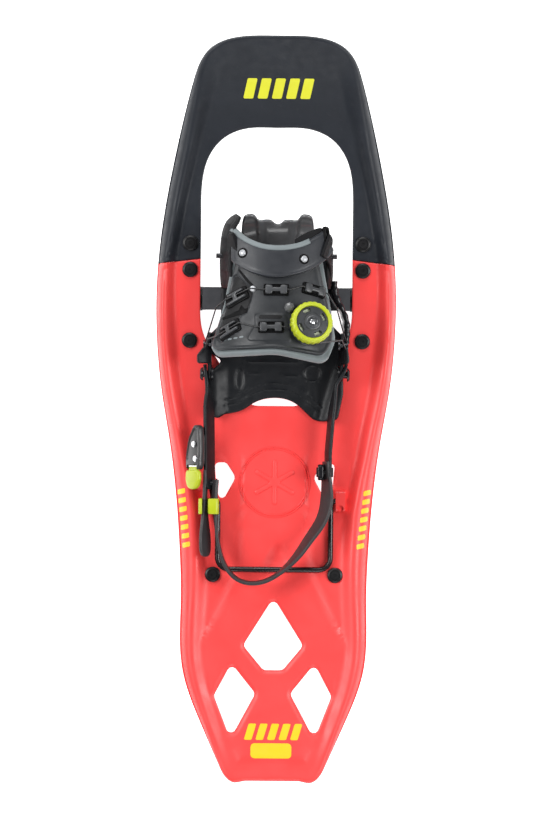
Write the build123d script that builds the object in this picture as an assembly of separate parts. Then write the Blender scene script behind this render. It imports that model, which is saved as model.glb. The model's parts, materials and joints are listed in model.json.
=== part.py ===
"""A composite-decked snowshoe with a pivoting, dial-laced binding.

Millimetres. +Y points to the toe, +X to the wearer's right, +Z up. The origin is on the ground
under the centre of the shoe. The shoe stands on the tips of its steel traction teeth at Z = 0.
"""

import os
from math import asin, cos, degrees, pi, radians, sin, sqrt

from build123d import *

# ---------------------------------------------------------------- driving dimensions
LENGTH = 620.0
WIDTH = 200.0
DECK_BOTTOM = 24.0  # height of the flat of the deck plate above the ground
PLATE = 4.0  # thickness of the deck plate
DECK_TOP = DECK_BOTTOM + PLATE
WALL = 3.0  # wall of the moulded side ridges
RIDGE_RISE = 7.0  # the ridge's crest above the plate
RIDGE_WIDTH = 14.0
SKIRT_DROP = 7.0  # the outer wall below the plate

TOE_BEND_Y, TOE_RADIUS = 145.0, 297.0  # the toe curves up in one arc from here
TAIL_BEND_Y, TAIL_RADIUS = -190.0, 606.0
SEAM_INNER, SEAM_OUTER = 126.0, 119.0  # Y of the joint of toe frame and deck
LAP = 18.0  # the toe frame's tongue runs this far under the deck
LAP_X = (64.5, 83.0)

RIVET_AT = [(72, 139), (72, 117), (72, 58), (51, -137)]
RIVET_HEAD_D, RIVET_HEAD_H, RIVET_SHANK_D, RIVET_HOLE_D = 13.0, 2.6, 5.0, 5.3
WASHER_D, WASHER_T = 9.0, 1.6
RAIL_T = 2.0  # steel gauge of the traction rails
TOOTH_PITCH, TOOTH_DEPTH, TOOTH_TIP = 14.0, 10.0, 3.0

AXLE_Y, AXLE_Z = 93.0, 13.0  # the binding turns about this line, along X
PIN_D, PIN_HEAD_D, PIN_HEAD_T, BUSH_D = 8.0, 14.0, 3.0, 20.0
RUNNING = 0.05  # radial clearance of a pin that turns in its bore
EAR_IN, EAR_OUT = 59.0, 61.5
RAIL_WALL_IN, RAIL_WALL_OUT = 64.5, 66.5
CARRIER_T, CARRIER_Y = 2.5, 19.0
CARRIER_TOP = 29.0
STEEL = 2.5
BOLT_X, BOLT_ROWS = 28.0, (70.0, AXLE_Y, 116.0)
BOLT_AT = [(BOLT_X, y) for y in BOLT_ROWS]
BOLT_D, BOLT_HOLE_D, BOLT_HEAD_D = 5.0, 5.4, 10.0

BASE_BOTTOM = 29.2
BASE_T = 4.0
BASE_TOP = BASE_BOTTOM + BASE_T
WING_X, WING_T = 53.5, 3.0  # inner face and thickness of the upright wings
WING_TOP = 60.0
STRAP_PIVOT_Y, STRAP_PIVOT_Z = 30.0, 45.5
HOOK_Y, HOOK_Z = 54.0, 55.5  # the lace turns round a post here on each wing

PAD_Y, PAD_Z, PAD_SLOPE = 90.0, 92.0, 12.0  # a point on the instep pad's crown, and its slope
PAD_R = 62.0  # outer radius of the pad's arch
SHELL_T, LINER_T = 2.0, 5.0
DIAL_X, DIAL_Y = 25.8, 69.8
DIAL_LEVEL = 11.5  # degrees that the dial leans less than the pad under it
DIAL_D, DIAL_H = 35.0, 9.0
DIAL_PULL = 2.5  # the knob pulls out this far to free the spool
LACE_D = 1.2

BAND_T, BAND_H, BAND_Z = 3.0, 15.0, 38.0  # heel strap: thickness, height, lowest edge
BAIL_D, BAIL_Z = 4.5, 31.0
BAIL_X, BAIL_END_X = 47.0, 58.0
BAIL_CORNER_R, BAIL_END_R = 10.0, 3.8
BAIL_PIVOT_Y, BAIL_CROSS_Y = -75.0, -132.5
LIFT_CLIP_X = 55.0

NODES = {}


def keep(name, shape):
    """Stores a finished piece under its node's name."""
    NODES[name] = shape


def both_sides(shape):
    """The shape and its mirror image across X = 0."""
    return [shape, mirror(shape, Plane.YZ)]


def cylinder_between(start, end, diameter):
    """A round rod from one point to another."""
    start, end = Vector(*start), Vector(*end)
    along = end - start
    return Plane(start, z_dir=along) * extrude(Circle(diameter / 2), along.length)


def upright_hole(x, y, diameter=None):
    """A vertical bore through everything, sized for a bolt unless it says otherwise."""
    return cylinder_between((x, y, 0), (x, y, 60), diameter or BOLT_HOLE_D)


def prism(face, low, high):
    """A face in the XY plane, drawn up from low to high."""
    return Pos(0, 0, low) * extrude(face, high - low, dir=(0, 0, 1))


def rounded_polygon(points, radius):
    """A closed outline with every corner rounded by the same arc."""
    shape = make_face(Polyline(*points, close=True))
    return fillet(shape.vertices(), radius)


def band_outline(line, thickness, samples=24):
    """The outline of a band of even thickness about a smooth line."""
    rows = []
    for sign in (1, -1):
        row = []
        for i in range(samples + 1):
            along = line % (i / samples)
            row.append(line @ (i / samples) + Vector(along.Y, -along.X) * sign * thickness / 2)
        rows.append(row)
    right, left = rows
    return make_face([Spline(*right), Line(right[-1], left[-1]), Spline(*left), Line(left[0], right[0])])


def flipped(points):
    """The points mirrored across X = 0, in reverse order, so that an outline can close."""
    return [(-x, y) for x, y in reversed(points)]


# ---------------------------------------------------------------- deck outline and side profile
OUTLINE = [
    (30, 309.2), (46, 305.5), (57, 299), (64.5, 289), (70, 274), (78.3, 242), (89, 192),
    (96.8, 142), (100, 92), (99, 56), (95.5, 20), (88, -25), (82, -72), (78.6, -118),
    (77.4, -160), (77.7, -196), (75, -219), (67.5, -243), (57, -267.5), (46, -292),
]
FOOT = [(40, -304), (32, -309.9), (22, -308.5)]
OPENING_FRONT = [(24, 234.5), (45, 226), (58, 208.5), (62.6, 188)]
OPENING_SIDE_X, OPENING_SIDE_END = 63.2, 84.0
OPENING_REAR = [(60.5, 64), (46, 38), (33, 17), (23, 6.5)]
OPENING_REAR_X, OPENING_REAR_Y, OPENING_FRONT_Y = 14.0, 3.8, 235.0


SIDE_LINE = Spline((0, LENGTH / 2), *OUTLINE, tangents=[(1, 0), (-0.42, -0.9)])


def mirrored_half(edges):
    """A face from the edges of its right half, which start and end on X = 0."""
    half = make_face(edges + [Line(edges[-1] @ 1, edges[0] @ 0)])
    return half + mirror(half, Plane.YZ)


def deck_outline():
    """The shoe's outline seen from above, with the two small feet of its tail."""
    foot = Spline(SIDE_LINE @ 1, *FOOT, tangents=[SIDE_LINE % 1, (-1, 0.1)])
    recess = Line(FOOT[-1], (0, FOOT[-1][1]))
    return mirrored_half([SIDE_LINE, foot, recess])


def inset(amount, samples=36):
    """The outline drawn in by an even margin, as far back as the tail's feet."""
    points = []
    for i in range(samples + 1):
        along = SIDE_LINE % (i / samples)
        points.append(SIDE_LINE @ (i / samples) + Vector(along.Y, -along.X) * amount)
    side = Spline(*points)
    return mirrored_half([side, Line(points[-1], (0, points[-1].Y))])


def toe_opening():
    """The large window that the boot's toe and the crampon swing through."""
    front = Spline((0, OPENING_FRONT_Y), *OPENING_FRONT, (OPENING_SIDE_X, 165),
                   tangents=[(1, 0), (0, -1)])
    side = Line((OPENING_SIDE_X, 165), (OPENING_SIDE_X, OPENING_SIDE_END))
    rear = Spline((OPENING_SIDE_X, OPENING_SIDE_END), *OPENING_REAR, (OPENING_REAR_X, OPENING_REAR_Y),
                  tangents=[(0, -1), (-1, 0)])
    back = Line((OPENING_REAR_X, OPENING_REAR_Y), (0, OPENING_REAR_Y))
    return mirrored_half([front, side, rear, back])


def tail_windows():
    """The kite-shaped windows of the tail and the two beside the heel."""
    middle = rounded_polygon([(0, -156), (25, -196), (8, -216.5), (-8, -216.5), (-25, -196)], 4)
    kite = rounded_polygon([(34.7, -211), (14.5, -236), (35, -274), (49, -238)], 4)
    heel = rounded_polygon([(50, -44), (44, -44), (32.5, -56), (45.5, -79), (48.5, -62)], 2.5)
    return [middle] + both_sides(kite) + both_sides(heel)


def side_curve(height):
    """Points of the side profile at a height above the plate's underside: tail to toe."""
    reach = LENGTH / 2 + 20
    tail_r, toe_r = TAIL_RADIUS - height, TOE_RADIUS - height
    tail_angle = asin((reach + TAIL_BEND_Y) / TAIL_RADIUS)
    toe_angle = asin((reach - TOE_BEND_Y) / TOE_RADIUS)

    def tail(angle):
        return TAIL_BEND_Y - tail_r * sin(angle), DECK_BOTTOM + TAIL_RADIUS - tail_r * cos(angle)

    def toe(angle):
        return TOE_BEND_Y + toe_r * sin(angle), DECK_BOTTOM + TOE_RADIUS - toe_r * cos(angle)

    ends = tail(tail_angle), toe(toe_angle)
    edges = [
        ThreePointArc(tail(tail_angle), tail(tail_angle / 2), tail(0)),
        Line(tail(0), toe(0)),
        ThreePointArc(toe(0), toe(toe_angle / 2), toe(toe_angle)),
    ]
    return ends, edges


def slab(low, high, half_width=WIDTH):
    """A slab that follows the deck's side profile, between two heights above its underside."""
    (tail_low, toe_low), under = side_curve(low)
    (tail_high, toe_high), over = side_curve(high)
    face = make_face(under + over + [Line(tail_low, tail_high), Line(toe_low, toe_high)])
    return Plane.YZ * extrude(face, half_width, both=True)


OUTER = deck_outline()
OPENING = toe_opening()


def tall(face):
    """A face drawn up far enough to cut through the whole deck."""
    return prism(face, -20, 140)


RIDGE_RAMPS = [
    (-300, -20), (-296, 37.5), (-256, 40), (-256, 140), (228, 140), (228, 48), (272, 56.5), (276, -20),
]
HOLLOW_MIDDLE, HOLLOW_LENGTH = -14.0, 470.0


def deck_section():
    """Plate, side ridges and skirt in one piece, before it is split into toe frame and deck."""
    whole, inside_skirt = tall(OUTER), tall(inset(WALL))
    ramps = Plane.YZ * extrude(make_face(Polyline(*RIDGE_RAMPS, close=True)), WIDTH, both=True)
    crest = PLATE + RIDGE_RISE
    plate = slab(0, PLATE) & whole
    ridge = slab(0, crest) & (whole - tall(inset(RIDGE_WIDTH))) & ramps
    hollow = slab(-1, crest - WALL) & (inside_skirt - tall(inset(RIDGE_WIDTH - WALL)))
    hollow &= tall(Pos(0, HOLLOW_MIDDLE) * Rectangle(2 * WIDTH, HOLLOW_LENGTH))
    skirt = slab(-SKIRT_DROP, PLATE) & (whole - inside_skirt)
    skirt &= tall(Pos(0, 20) * Rectangle(2 * WIDTH, 600))
    return plate + ridge + skirt - hollow - tall(OPENING)


def seam_region(ahead):
    """Everything ahead of, or behind, the joint between toe frame and deck."""
    end = 400 if ahead else -400
    face = Polygon((-120, SEAM_OUTER), (-63, SEAM_INNER), (63, SEAM_INNER), (120, SEAM_OUTER),
                   (120, end), (-120, end), align=None)
    return tall(face)


EMBLEM_Y, EMBLEM_RISE = -59.8, 0.8
EMBLEM_RADII = (29.6, 27.9)  # outer radii of its two rings
EMBLEM_LINE, EMBLEM_ARM = 0.9, 33.0


def emblem():
    """Two thin raised rings on the heel area with a plain six-armed star in them."""
    star = Rectangle(EMBLEM_ARM, 3)
    for turn in (60, 120):
        star += Rot(0, 0, turn) * Rectangle(EMBLEM_ARM, 3)
    for radius in EMBLEM_RADII:
        star += Circle(radius) - Circle(radius - EMBLEM_LINE)
    return prism(Pos(0, EMBLEM_Y) * star, DECK_TOP - 1, DECK_TOP + EMBLEM_RISE)


def rivet_holes():
    """The through holes for the deck's eight rivets."""
    holes = []
    for x, y in RIVET_AT:
        holes += both_sides(upright_hole(x, y, RIVET_HOLE_D))
    return holes


def make_deck():
    """Toe frame and deck, lapped and riveted to each other and to the rails below."""
    section = deck_section()
    tongue_x = sum(LAP_X) / 2
    tongue = Pos(tongue_x, (SEAM_INNER + SEAM_OUTER) / 2 - LAP / 2) * Rectangle(LAP_X[1] - LAP_X[0], LAP + 8)
    gap = offset(tongue, 0.4)
    half_plate = PLATE / 2
    toe = section & seam_region(True)
    tail = section & seam_region(False)
    holes = rivet_holes()
    for tongue_side, gap_side in zip(both_sides(tongue), both_sides(gap)):
        toe += slab(0, half_plate - 0.1) & prism(tongue_side, 0, 60)
        tail -= slab(-1, half_plate) & prism(gap_side, 0, 60)
    for window in tail_windows():
        tail -= tall(window)
    tail += emblem()
    keep("toe_frame", toe - holes)
    keep("tail_deck", tail - holes)


# ---------------------------------------------------------------- traction rails and rivets
RAIL_LINE = [(0, 150), (0, 45), (-8.5, -40), (-21, -137), (-22, -150)]
RAIL_FLANGE_OUT = 79.0


def rail_band(inner, outer):
    """A band beside the rail's line, which bends in towards the tail."""
    return make_face(Polyline(*[(x + inner, y) for x, y in RAIL_LINE],
                              *[(x + outer, y) for x, y in reversed(RAIL_LINE)], close=True))


def traction_rail():
    """An L of steel under the deck, its upright edge cut into teeth."""
    flange = prism(rail_band(RAIL_WALL_IN, RAIL_FLANGE_OUT), DECK_BOTTOM - RAIL_T, DECK_BOTTOM)
    upright = prism(rail_band(RAIL_WALL_IN, RAIL_WALL_OUT), 0, DECK_BOTTOM)
    gullet = Polygon((-TOOTH_PITCH / 2 + TOOTH_TIP / 2, 0), (TOOTH_PITCH / 2 - TOOTH_TIP / 2, 0),
                     (0, TOOTH_DEPTH), align=None)
    count = 20
    for i in range(count):
        y = 141 - i * TOOTH_PITCH
        if abs(y - AXLE_Y) < TOOTH_PITCH:
            continue
        upright -= Pos(40, y, 0) * (Plane.YZ * extrude(gullet, 40))
    rail = flange + upright
    rail -= cylinder_between((60, AXLE_Y, AXLE_Z), (75, AXLE_Y, AXLE_Z), PIN_D + 0.2)
    return rail - rivet_holes()


def make_rails_and_rivets():
    right, left = both_sides(traction_rail())
    keep("traction_rail_right", right)
    keep("traction_rail_left", left)
    caps, washers = [], []
    flange_low = DECK_BOTTOM - RAIL_T
    for x, y in RIVET_AT:
        head = cylinder_between((x, y, DECK_TOP), (x, y, DECK_TOP + RIVET_HEAD_H), RIVET_HEAD_D)
        head = fillet(head.edges().sort_by(Axis.Z)[-1], 1.6)
        shank = cylinder_between((x, y, flange_low - WASHER_T - 0.8), (x, y, DECK_TOP), RIVET_SHANK_D)
        ring = cylinder_between((x, y, flange_low - WASHER_T), (x, y, flange_low), WASHER_D)
        ring -= cylinder_between((x, y, 0), (x, y, 60), RIVET_SHANK_D + 0.1)
        caps += both_sides(head + shank)
        washers += both_sides(ring)
    keep("deck_rivets", Compound(caps))
    keep("rivet_washers", Compound(washers))


# ---------------------------------------------------------------- axle: pins, bushes, clips, carrier
def make_axle():
    """Each end: a headed pin through rail, flanged bush and the carrier's ear, held by a clip."""
    def along_x(low, high, diameter):
        return cylinder_between((low, AXLE_Y, AXLE_Z), (high, AXLE_Y, AXLE_Z), diameter)

    clip_x, clip_t, tip_x = EAR_IN - 1.4, 1.0, EAR_IN - 3.4
    head_x = RAIL_WALL_OUT + 0.1
    pin = along_x(tip_x, head_x, PIN_D) + along_x(head_x, head_x + PIN_HEAD_T, PIN_HEAD_D)
    pin -= along_x(clip_x, clip_x + clip_t, PIN_D + 1) - along_x(clip_x, clip_x + clip_t, PIN_D - 2)
    clip = along_x(clip_x + 0.05, clip_x + clip_t - 0.05, PIN_D + 5)
    clip -= along_x(clip_x, clip_x + clip_t, PIN_D - 1.8)
    mouth = Pos(clip_x, AXLE_Y, AXLE_Z - 6) * Box(4, PIN_D - 2.4, 10)
    clip -= mouth
    bush = along_x(EAR_OUT + 0.2, RAIL_WALL_IN - 0.1, BUSH_D) - along_x(50, 80, PIN_D + 2 * RUNNING)
    for name, shape in (("pivot_pin", pin), ("pivot_bush", bush), ("pivot_clip", clip)):
        right, left = both_sides(shape)
        keep(name + "_right", right)
        keep(name + "_left", left)

    top = Pos(0, AXLE_Y, CARRIER_TOP - CARRIER_T / 2) * Box(2 * EAR_OUT, CARRIER_Y, CARRIER_T)
    ear = Pos((EAR_IN + EAR_OUT) / 2, AXLE_Y, (CARRIER_TOP + AXLE_Z) / 2) * Box(
        EAR_OUT - EAR_IN, CARRIER_Y, CARRIER_TOP - AXLE_Z)
    ear += along_x(EAR_IN, EAR_OUT, CARRIER_Y)
    carrier = top
    for part in both_sides(ear):
        carrier += part
    carrier -= cylinder_between((-80, AXLE_Y, AXLE_Z), (80, AXLE_Y, AXLE_Z), PIN_D + 2 * RUNNING)
    for x in (-BOLT_X, BOLT_X):
        carrier -= upright_hole(x, AXLE_Y)
    keep("axle_carrier", carrier)


# ---------------------------------------------------------------- toe crampon
CRAMPON_X, CRAMPON_REAR, CRAMPON_FRONT = 39.0, 57.0, 129.0
CRAMPON_TOP = CARRIER_TOP - CARRIER_T
CLAWS = 4  # in each row


def toothed_edge(width, height, teeth):
    """A row of claws along X, seen in the XZ plane, hanging from Z = 0."""
    pitch = width / teeth
    outline = [(-width / 2, 0), (width / 2, 0)]
    for i in range(teeth):
        right = width / 2 - i * pitch
        outline += [(right - 0.5, -height * 0.4), (right - pitch / 2 + 2, -height)]
        outline += [(right - pitch / 2 - 2, -height), (right - pitch + 0.5, -height * 0.4)]
    return make_face(Polyline(*outline, close=True))


def make_crampon():
    plate_y = (CRAMPON_REAR + CRAMPON_FRONT) / 2
    crampon = Pos(0, plate_y, CRAMPON_TOP - STEEL / 2) * Box(
        2 * CRAMPON_X, CRAMPON_FRONT - CRAMPON_REAR, STEEL)
    claws = toothed_edge(2 * CRAMPON_X, CRAMPON_TOP - STEEL - 1.5, CLAWS)
    for y in (CRAMPON_REAR, CRAMPON_FRONT - STEEL):
        crampon += Pos(0, y + STEEL, CRAMPON_TOP - STEEL) * (Plane.XZ * extrude(claws, STEEL))
    for x, y in BOLT_AT:
        for hole in both_sides(upright_hole(x, y)):
            crampon -= hole
    keep("toe_crampon", crampon)


# ---------------------------------------------------------------- binding base
def base_outline():
    """The footbed seen from above, with the arched cut between its two rear feet."""
    right = [(36, 148), (46, 138), (46, 72), (52, 66), (WING_X + WING_T, 64), (WING_X + WING_T, 2)]
    rear = [(54, -7), (30, -7)]
    arch = ThreePointArc(rear[-1], (0, 10.5), (-rear[-1][0], rear[-1][1]))
    side = Polyline(*right, *rear)
    other = Polyline(*flipped(right + rear))
    front = Line((-right[0][0], right[0][1]), right[0])
    return make_face([side, arch, other, front])


def wing():
    """The upright wing that carries the heel strap's pivot and the lace's post."""
    face = rounded_polygon([(24, 22), (65, 22), (65, 42), (57.5, WING_TOP), (47, WING_TOP), (39, 51), (24, 51)], 3)
    plate = Pos(WING_X, 0, 0) * (Plane.YZ * extrude(face, WING_T))
    for y, z, diameter in ((STRAP_PIVOT_Y, STRAP_PIVOT_Z, 6.1), (HOOK_Y, HOOK_Z, 3.1)):
        plate -= cylinder_between((WING_X - 1, y, z), (WING_X + WING_T + 1, y, z), diameter)
    return plate - Pos(WING_X, 40, BASE_BOTTOM - 20) * Box(20, 80, 40)


BRACE_PATH = [(48.2, 108), (48.8, 97), (53.5, 86), (57.9, 75), (58.6, 66), (58.6, 56)]
BRACE_Z = (30.6, 45.0)


def make_base():
    """The footbed with its wings, the bolts that clamp the crampon to it, and the right side's brace."""
    outline = base_outline()
    base = prism(outline, BASE_BOTTOM, BASE_TOP)
    rim = outline - offset(outline, -2.5, kind=Kind.INTERSECTION)
    rim = prism(rim, BASE_TOP, BASE_TOP + 3) & Pos(0, 28, 40) * Box(140, 60, 40)
    base += rim
    for side in both_sides(wing()):
        base += side
    spacer_z = (CRAMPON_TOP + BASE_BOTTOM) / 2
    for y in (BOLT_ROWS[0], BOLT_ROWS[-1]):
        base += Pos(0, y, spacer_z) * Box(70, 20, BASE_BOTTOM - CRAMPON_TOP)
    for y in (18, 26, 34):
        base += Pos(0, y, BASE_TOP + 0.6) * Box(60, 2.5, 1.2)
    bolts, nuts = [], []
    for x, y in BOLT_AT:
        for hole in both_sides(upright_hole(x, y)):
            base -= hole
        under = CRAMPON_TOP - STEEL
        bolt = cylinder_between((x, y, under - 5), (x, y, BASE_TOP), BOLT_D)
        bolt += cylinder_between((x, y, BASE_TOP), (x, y, BASE_TOP + 2), BOLT_HEAD_D)
        nut = Pos(x, y, under - 4) * extrude(RegularPolygon(4.4, 6), 4)
        nut -= upright_hole(x, y, BOLT_D + RUNNING)
        bolts += both_sides(bolt)
        nuts += both_sides(nut)
    brace_line = Spline(*BRACE_PATH, tangents=[(0, -1), (0, -1)])
    keep("side_brace", prism(band_outline(brace_line, BAND_T), *BRACE_Z))
    keep("base_plate", base)
    keep("base_bolts", Compound(bolts))
    keep("base_nuts", Compound(nuts))


# ---------------------------------------------------------------- toe cup, toe cage and toe strap
CUP_BEND_Y, CUP_RADIUS = 131.0, 34.0
CAGE_X, CAGE_T = 45.0, 2.5  # outer face and thickness of the cage walls
STRAP_R = PAD_R + 3.4
STRAP_REAR_Y, STRAP_BOW_R, TOE_STRAP_WIDTH = 109.5, 50.0, 24.0


def cup_slab(low, high):
    """A slab that runs along the footbed and curves up at the toe."""
    centre_z = BASE_TOP + 0.2 + CUP_RADIUS
    sweep = radians(78)

    def at(radius, angle):
        return CUP_BEND_Y + radius * sin(angle), centre_z - radius * cos(angle)

    outer, inner = CUP_RADIUS - low, CUP_RADIUS - high
    face = make_face([
        Line((102, centre_z - outer), at(outer, 0)),
        ThreePointArc(at(outer, 0), at(outer, sweep / 2), at(outer, sweep)),
        Line(at(outer, sweep), at(inner, sweep)),
        ThreePointArc(at(inner, sweep), at(inner, sweep / 2), at(inner, 0)),
        Line(at(inner, 0), (102, centre_z - inner)),
        Line((102, centre_z - inner), (102, centre_z - outer)),
    ])
    return Plane.YZ * extrude(face, 60, both=True)


def make_toe():
    """The scalloped toe cup, the cage's side walls, and the strap that bridges them."""
    cup = cup_slab(0, 3) & Pos(0, 140, 60) * Box(62, 100, 100)
    cup -= Plane.XZ * (Pos(0, 81, -200) * extrude(Circle(26), 300))
    cup &= tall(rounded_polygon([(-31, 100), (31, 100), (31, 150), (24, 172), (-24, 172), (-31, 150)], 6))
    for x in (-BOLT_X, BOLT_X):
        cup -= upright_hole(x, BOLT_ROWS[-1], BOLT_HEAD_D + 1)
    keep("toe_cup", cup)

    wall = rounded_polygon([(104, BASE_TOP + 0.1), (137, BASE_TOP + 0.1), (156, 62), (112, 58)], 3)
    right = Pos(CAGE_X - CAGE_T, 0, 0) * (Plane.YZ * extrude(wall, CAGE_T))
    right, left = both_sides(right)
    keep("toe_cage_right", right)
    keep("toe_cage_left", left)

    leg_x = CAGE_X + 0.2
    band = Pos(2, STRAP_REAR_Y + STRAP_BOW_R) * Circle(STRAP_BOW_R)
    band -= Pos(2, STRAP_REAR_Y + STRAP_BOW_R + TOE_STRAP_WIDTH) * Circle(STRAP_BOW_R)
    band &= Pos(0, 132) * Rectangle(2 * (leg_x + BAND_T), 56)
    arch = pad_arch(STRAP_R, STRAP_R + BAND_T) & tall(band)
    leg = rounded_polygon([(116, 44), (138, 44), (156, 72), (136, 72)], 2)
    leg = Pos(leg_x, 0, 0) * (Plane.YZ * extrude(leg, BAND_T)) - pad_arch(STRAP_R + BAND_T, STRAP_R + 20)
    rivets = []
    for side in both_sides(leg):
        arch += side
    for side in both_sides(cylinder_between((leg_x - 6, 128, 52), (leg_x + 5, 128, 52), 4)):
        rivets.append(side)
    bore = cylinder_between((-60, 128, 52), (60, 128, 52), 4.1)
    for stud_x, stud_y in STUD_AT:
        arch -= strap_stud(stud_x, stud_y, STUD_BORE_R)
    for name in ("toe_cage_right", "toe_cage_left"):
        NODES[name] -= bore
    over = STRAP_R + BAND_T + 0.2
    frame = rounded_polygon([(35, 131), (46, 127), (48, 147), (37, 153)], 2)
    window = rounded_polygon([(38.5, 133.5), (43, 131.5), (44.5, 144.5), (40, 148)], 1)
    strap_end = rounded_polygon([(14, 151), (33, 140), (46, 127), (49, 140), (38, 150), (18, 158.5)], 2)
    keep("toe_buckle", pad_arch(over, over + 2.4) & tall(frame - window))
    keep("toe_strap_end", pad_arch(over + 2.7, over + 4.7) & tall(strap_end))
    keep("toe_strap", arch - bore)
    keep("cage_rivets", Compound(rivets))
    keep("toe_strap_studs", Compound([strap_stud(x, y, STUD_R) + strap_stud_head(x, y) for x, y in STUD_AT]))


STUD_AT = [(-25.4, 128.5), (20.5, 123.8)]
STUD_R, STUD_BORE_R, STUD_HEAD_R = 2.0, 2.1, 3.8


def strap_stud(x, y, radius):
    frame = pad_point(x, y, SHELL_T + 0.2)
    return frame * extrude(Circle(radius), STRAP_R + BAND_T - PAD_R)


def strap_stud_head(x, y):
    frame = pad_point(x, y, STRAP_R + BAND_T - PAD_R + 0.2)
    head = extrude(Circle(STUD_HEAD_R), 2)
    return frame * fillet(head.edges().sort_by(Axis.Z)[-1], 1.2)


# ---------------------------------------------------------------- instep pad
PAD_FRAME = Plane(origin=(0, PAD_Y, PAD_Z), x_dir=(1, 0, 0),
                  z_dir=(0, sin(radians(PAD_SLOPE)), cos(radians(PAD_SLOPE))))


def pad_arch(inner, outer):
    """An arched sheet about the pad's own axis, between two radii."""
    ring = Pos(0, -PAD_R) * (Circle(outer) - Circle(inner))
    ring &= Rectangle(4 * PAD_R, 2 * PAD_R, align=(Align.CENTER, Align.CENTER))
    sheet = extrude(ring, 120, both=True)
    return PAD_FRAME * (Rot(90, 0, 0) * sheet)


def pad_point(x, y, lift=0.0):
    """A frame on the pad's outer surface above (x, y), its Z along the surface's normal."""
    turn = asin(x / PAD_R)
    drop = PAD_R * (1 - cos(turn))
    slope = radians(PAD_SLOPE)
    along = (y - PAD_Y + drop * sin(slope)) / cos(slope)
    local = Pos(x, along, -drop) * Rot(0, degrees(turn), 0) * Pos(0, 0, lift)
    return Plane(PAD_FRAME.location * local)


def make_pad():
    """A foam liner whose edge shows all round, and the darker moulded shell on top of it."""
    liner_outline = [(-51.5, 52), (-47, 43), (0, 46.5), (43, 38), (50.5, 58), (46, 86), (36, 136), (18, 128),
                     (0, 125), (-18, 128), (-34, 138), (-44, 88)]
    liner = pad_arch(PAD_R - LINER_T - 0.2, PAD_R - 0.2) & tall(rounded_polygon(liner_outline, 3))
    shell_outline = [(-50, 54), (-46, 49), (0, 51), (40, 45), (46.5, 60), (42, 86), (33, 130), (18, 124),
                     (0, 121), (-18, 124), (-31, 132), (-40, 88)]
    shell = pad_arch(PAD_R, PAD_R + SHELL_T) & tall(rounded_polygon(shell_outline, 3))
    for x, y in STUD_AT:
        shell -= strap_stud(x, y, STUD_BORE_R)
    keep("instep_liner", liner)
    keep("instep_shell", shell)


# ---------------------------------------------------------------- lace guides, lace and dial
GUIDE_AT = {"middle_front": (0, 99, 0), "middle_rear": (-4, 68, 0), "left_front": (-30, 95, 18),
            "left_rear": (-37, 66, 20), "right_front": (30, 99, -8)}
GUIDE_L, GUIDE_W, GUIDE_H = 20.0, 8.0, 3.6
LACE_LIFT = 2.2


def guide_frame(name):
    """The frame of one guide: X along the guide, Z away from the shell."""
    x, y, turn = GUIDE_AT[name]
    return Plane(pad_point(x, y, SHELL_T) * Rot(0, 0, turn))


def make_guides():
    """H-shaped guides: a foot, two end bars and a bridge that the lace runs under."""
    guides = []
    for name in GUIDE_AT:
        guide = Pos(0, 0, 0.3) * Box(GUIDE_L, GUIDE_W, 2.2)
        for end in (-1, 1):
            guide += Pos(end * (GUIDE_L / 2 - 2), 0, GUIDE_H / 2) * Box(4, GUIDE_W, GUIDE_H)
        guide += Pos(0, 0, GUIDE_H - 0.4) * Box(GUIDE_L, 3, 0.8)
        guide -= Pos(0, 0, LACE_LIFT) * Box(GUIDE_L + 2, LACE_D + 0.6, 1.8)
        guides.append(guide_frame(name) * guide - pad_arch(PAD_R - 10, PAD_R + SHELL_T + 0.05))
    keep("lace_guides", Compound(guides))


HOOK_X = WING_X + WING_T
HOOK_SHANK_D, HOOK_HEAD_D = 5.0, 8.5
DIAL_SEAT_LIFT = SHELL_T + 0.3
BASE_WALL_OUT, BASE_WALL_IN, DIAL_FLOOR = DIAL_D / 2 - 2.5, 11.0, 1.6
DIAL_SKIRT = 6.5  # how far the base reaches down to the pad on its low side
DIAL_BASE_H, EXIT_H = 6.0, 3.4
EXITS = {"left": 192, "right": -62}


def dial_seat():
    """The dial's own frame on the shell, Z along its axis."""
    return Plane(pad_point(DIAL_X, DIAL_Y, DIAL_SEAT_LIFT) * Rot(0, -DIAL_LEVEL, 0))


def exit_points(name):
    """The ends of the lace's hole through the dial's wall, inside first."""
    turn = radians(EXITS[name])
    seat = dial_seat()
    radii = (BASE_WALL_IN + 1, BASE_WALL_OUT + 2)
    return [seat.from_local_coords((r * cos(turn), r * sin(turn), EXIT_H)) for r in radii]


def guide_points(name):
    """The lace's two points at a guide's ends, right one first."""
    frame = guide_frame(name)
    return [frame.from_local_coords((end * (GUIDE_L / 2 + 2), 0, LACE_LIFT)) for end in (1, -1)]


def hook_points(sign):
    """The lace's corners round the wing's post, front one first."""
    x, turn_r = sign * (HOOK_X + 1.7), HOOK_SHANK_D / 2 + LACE_D / 2 + 0.1
    corners = [(1, -1), (-1, -1), (-1, 1)]
    return [(x, HOOK_Y + turn_r * along, HOOK_Z + turn_r * up) for along, up in corners]


def edge_point(x, y, lift=LACE_LIFT):
    """A point of the lace just outside the pad's edge."""
    return pad_point(x, y, SHELL_T + lift).origin


def lace(points):
    """A thin wire through the points, its corners rounded."""
    path = [Vector(*point) for point in points]
    line = FilletPolyline(*path, radius=1.8)
    section = Plane(origin=path[0], z_dir=path[1] - path[0]) * Circle(LACE_D / 2)
    return sweep(section, path=line)


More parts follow.
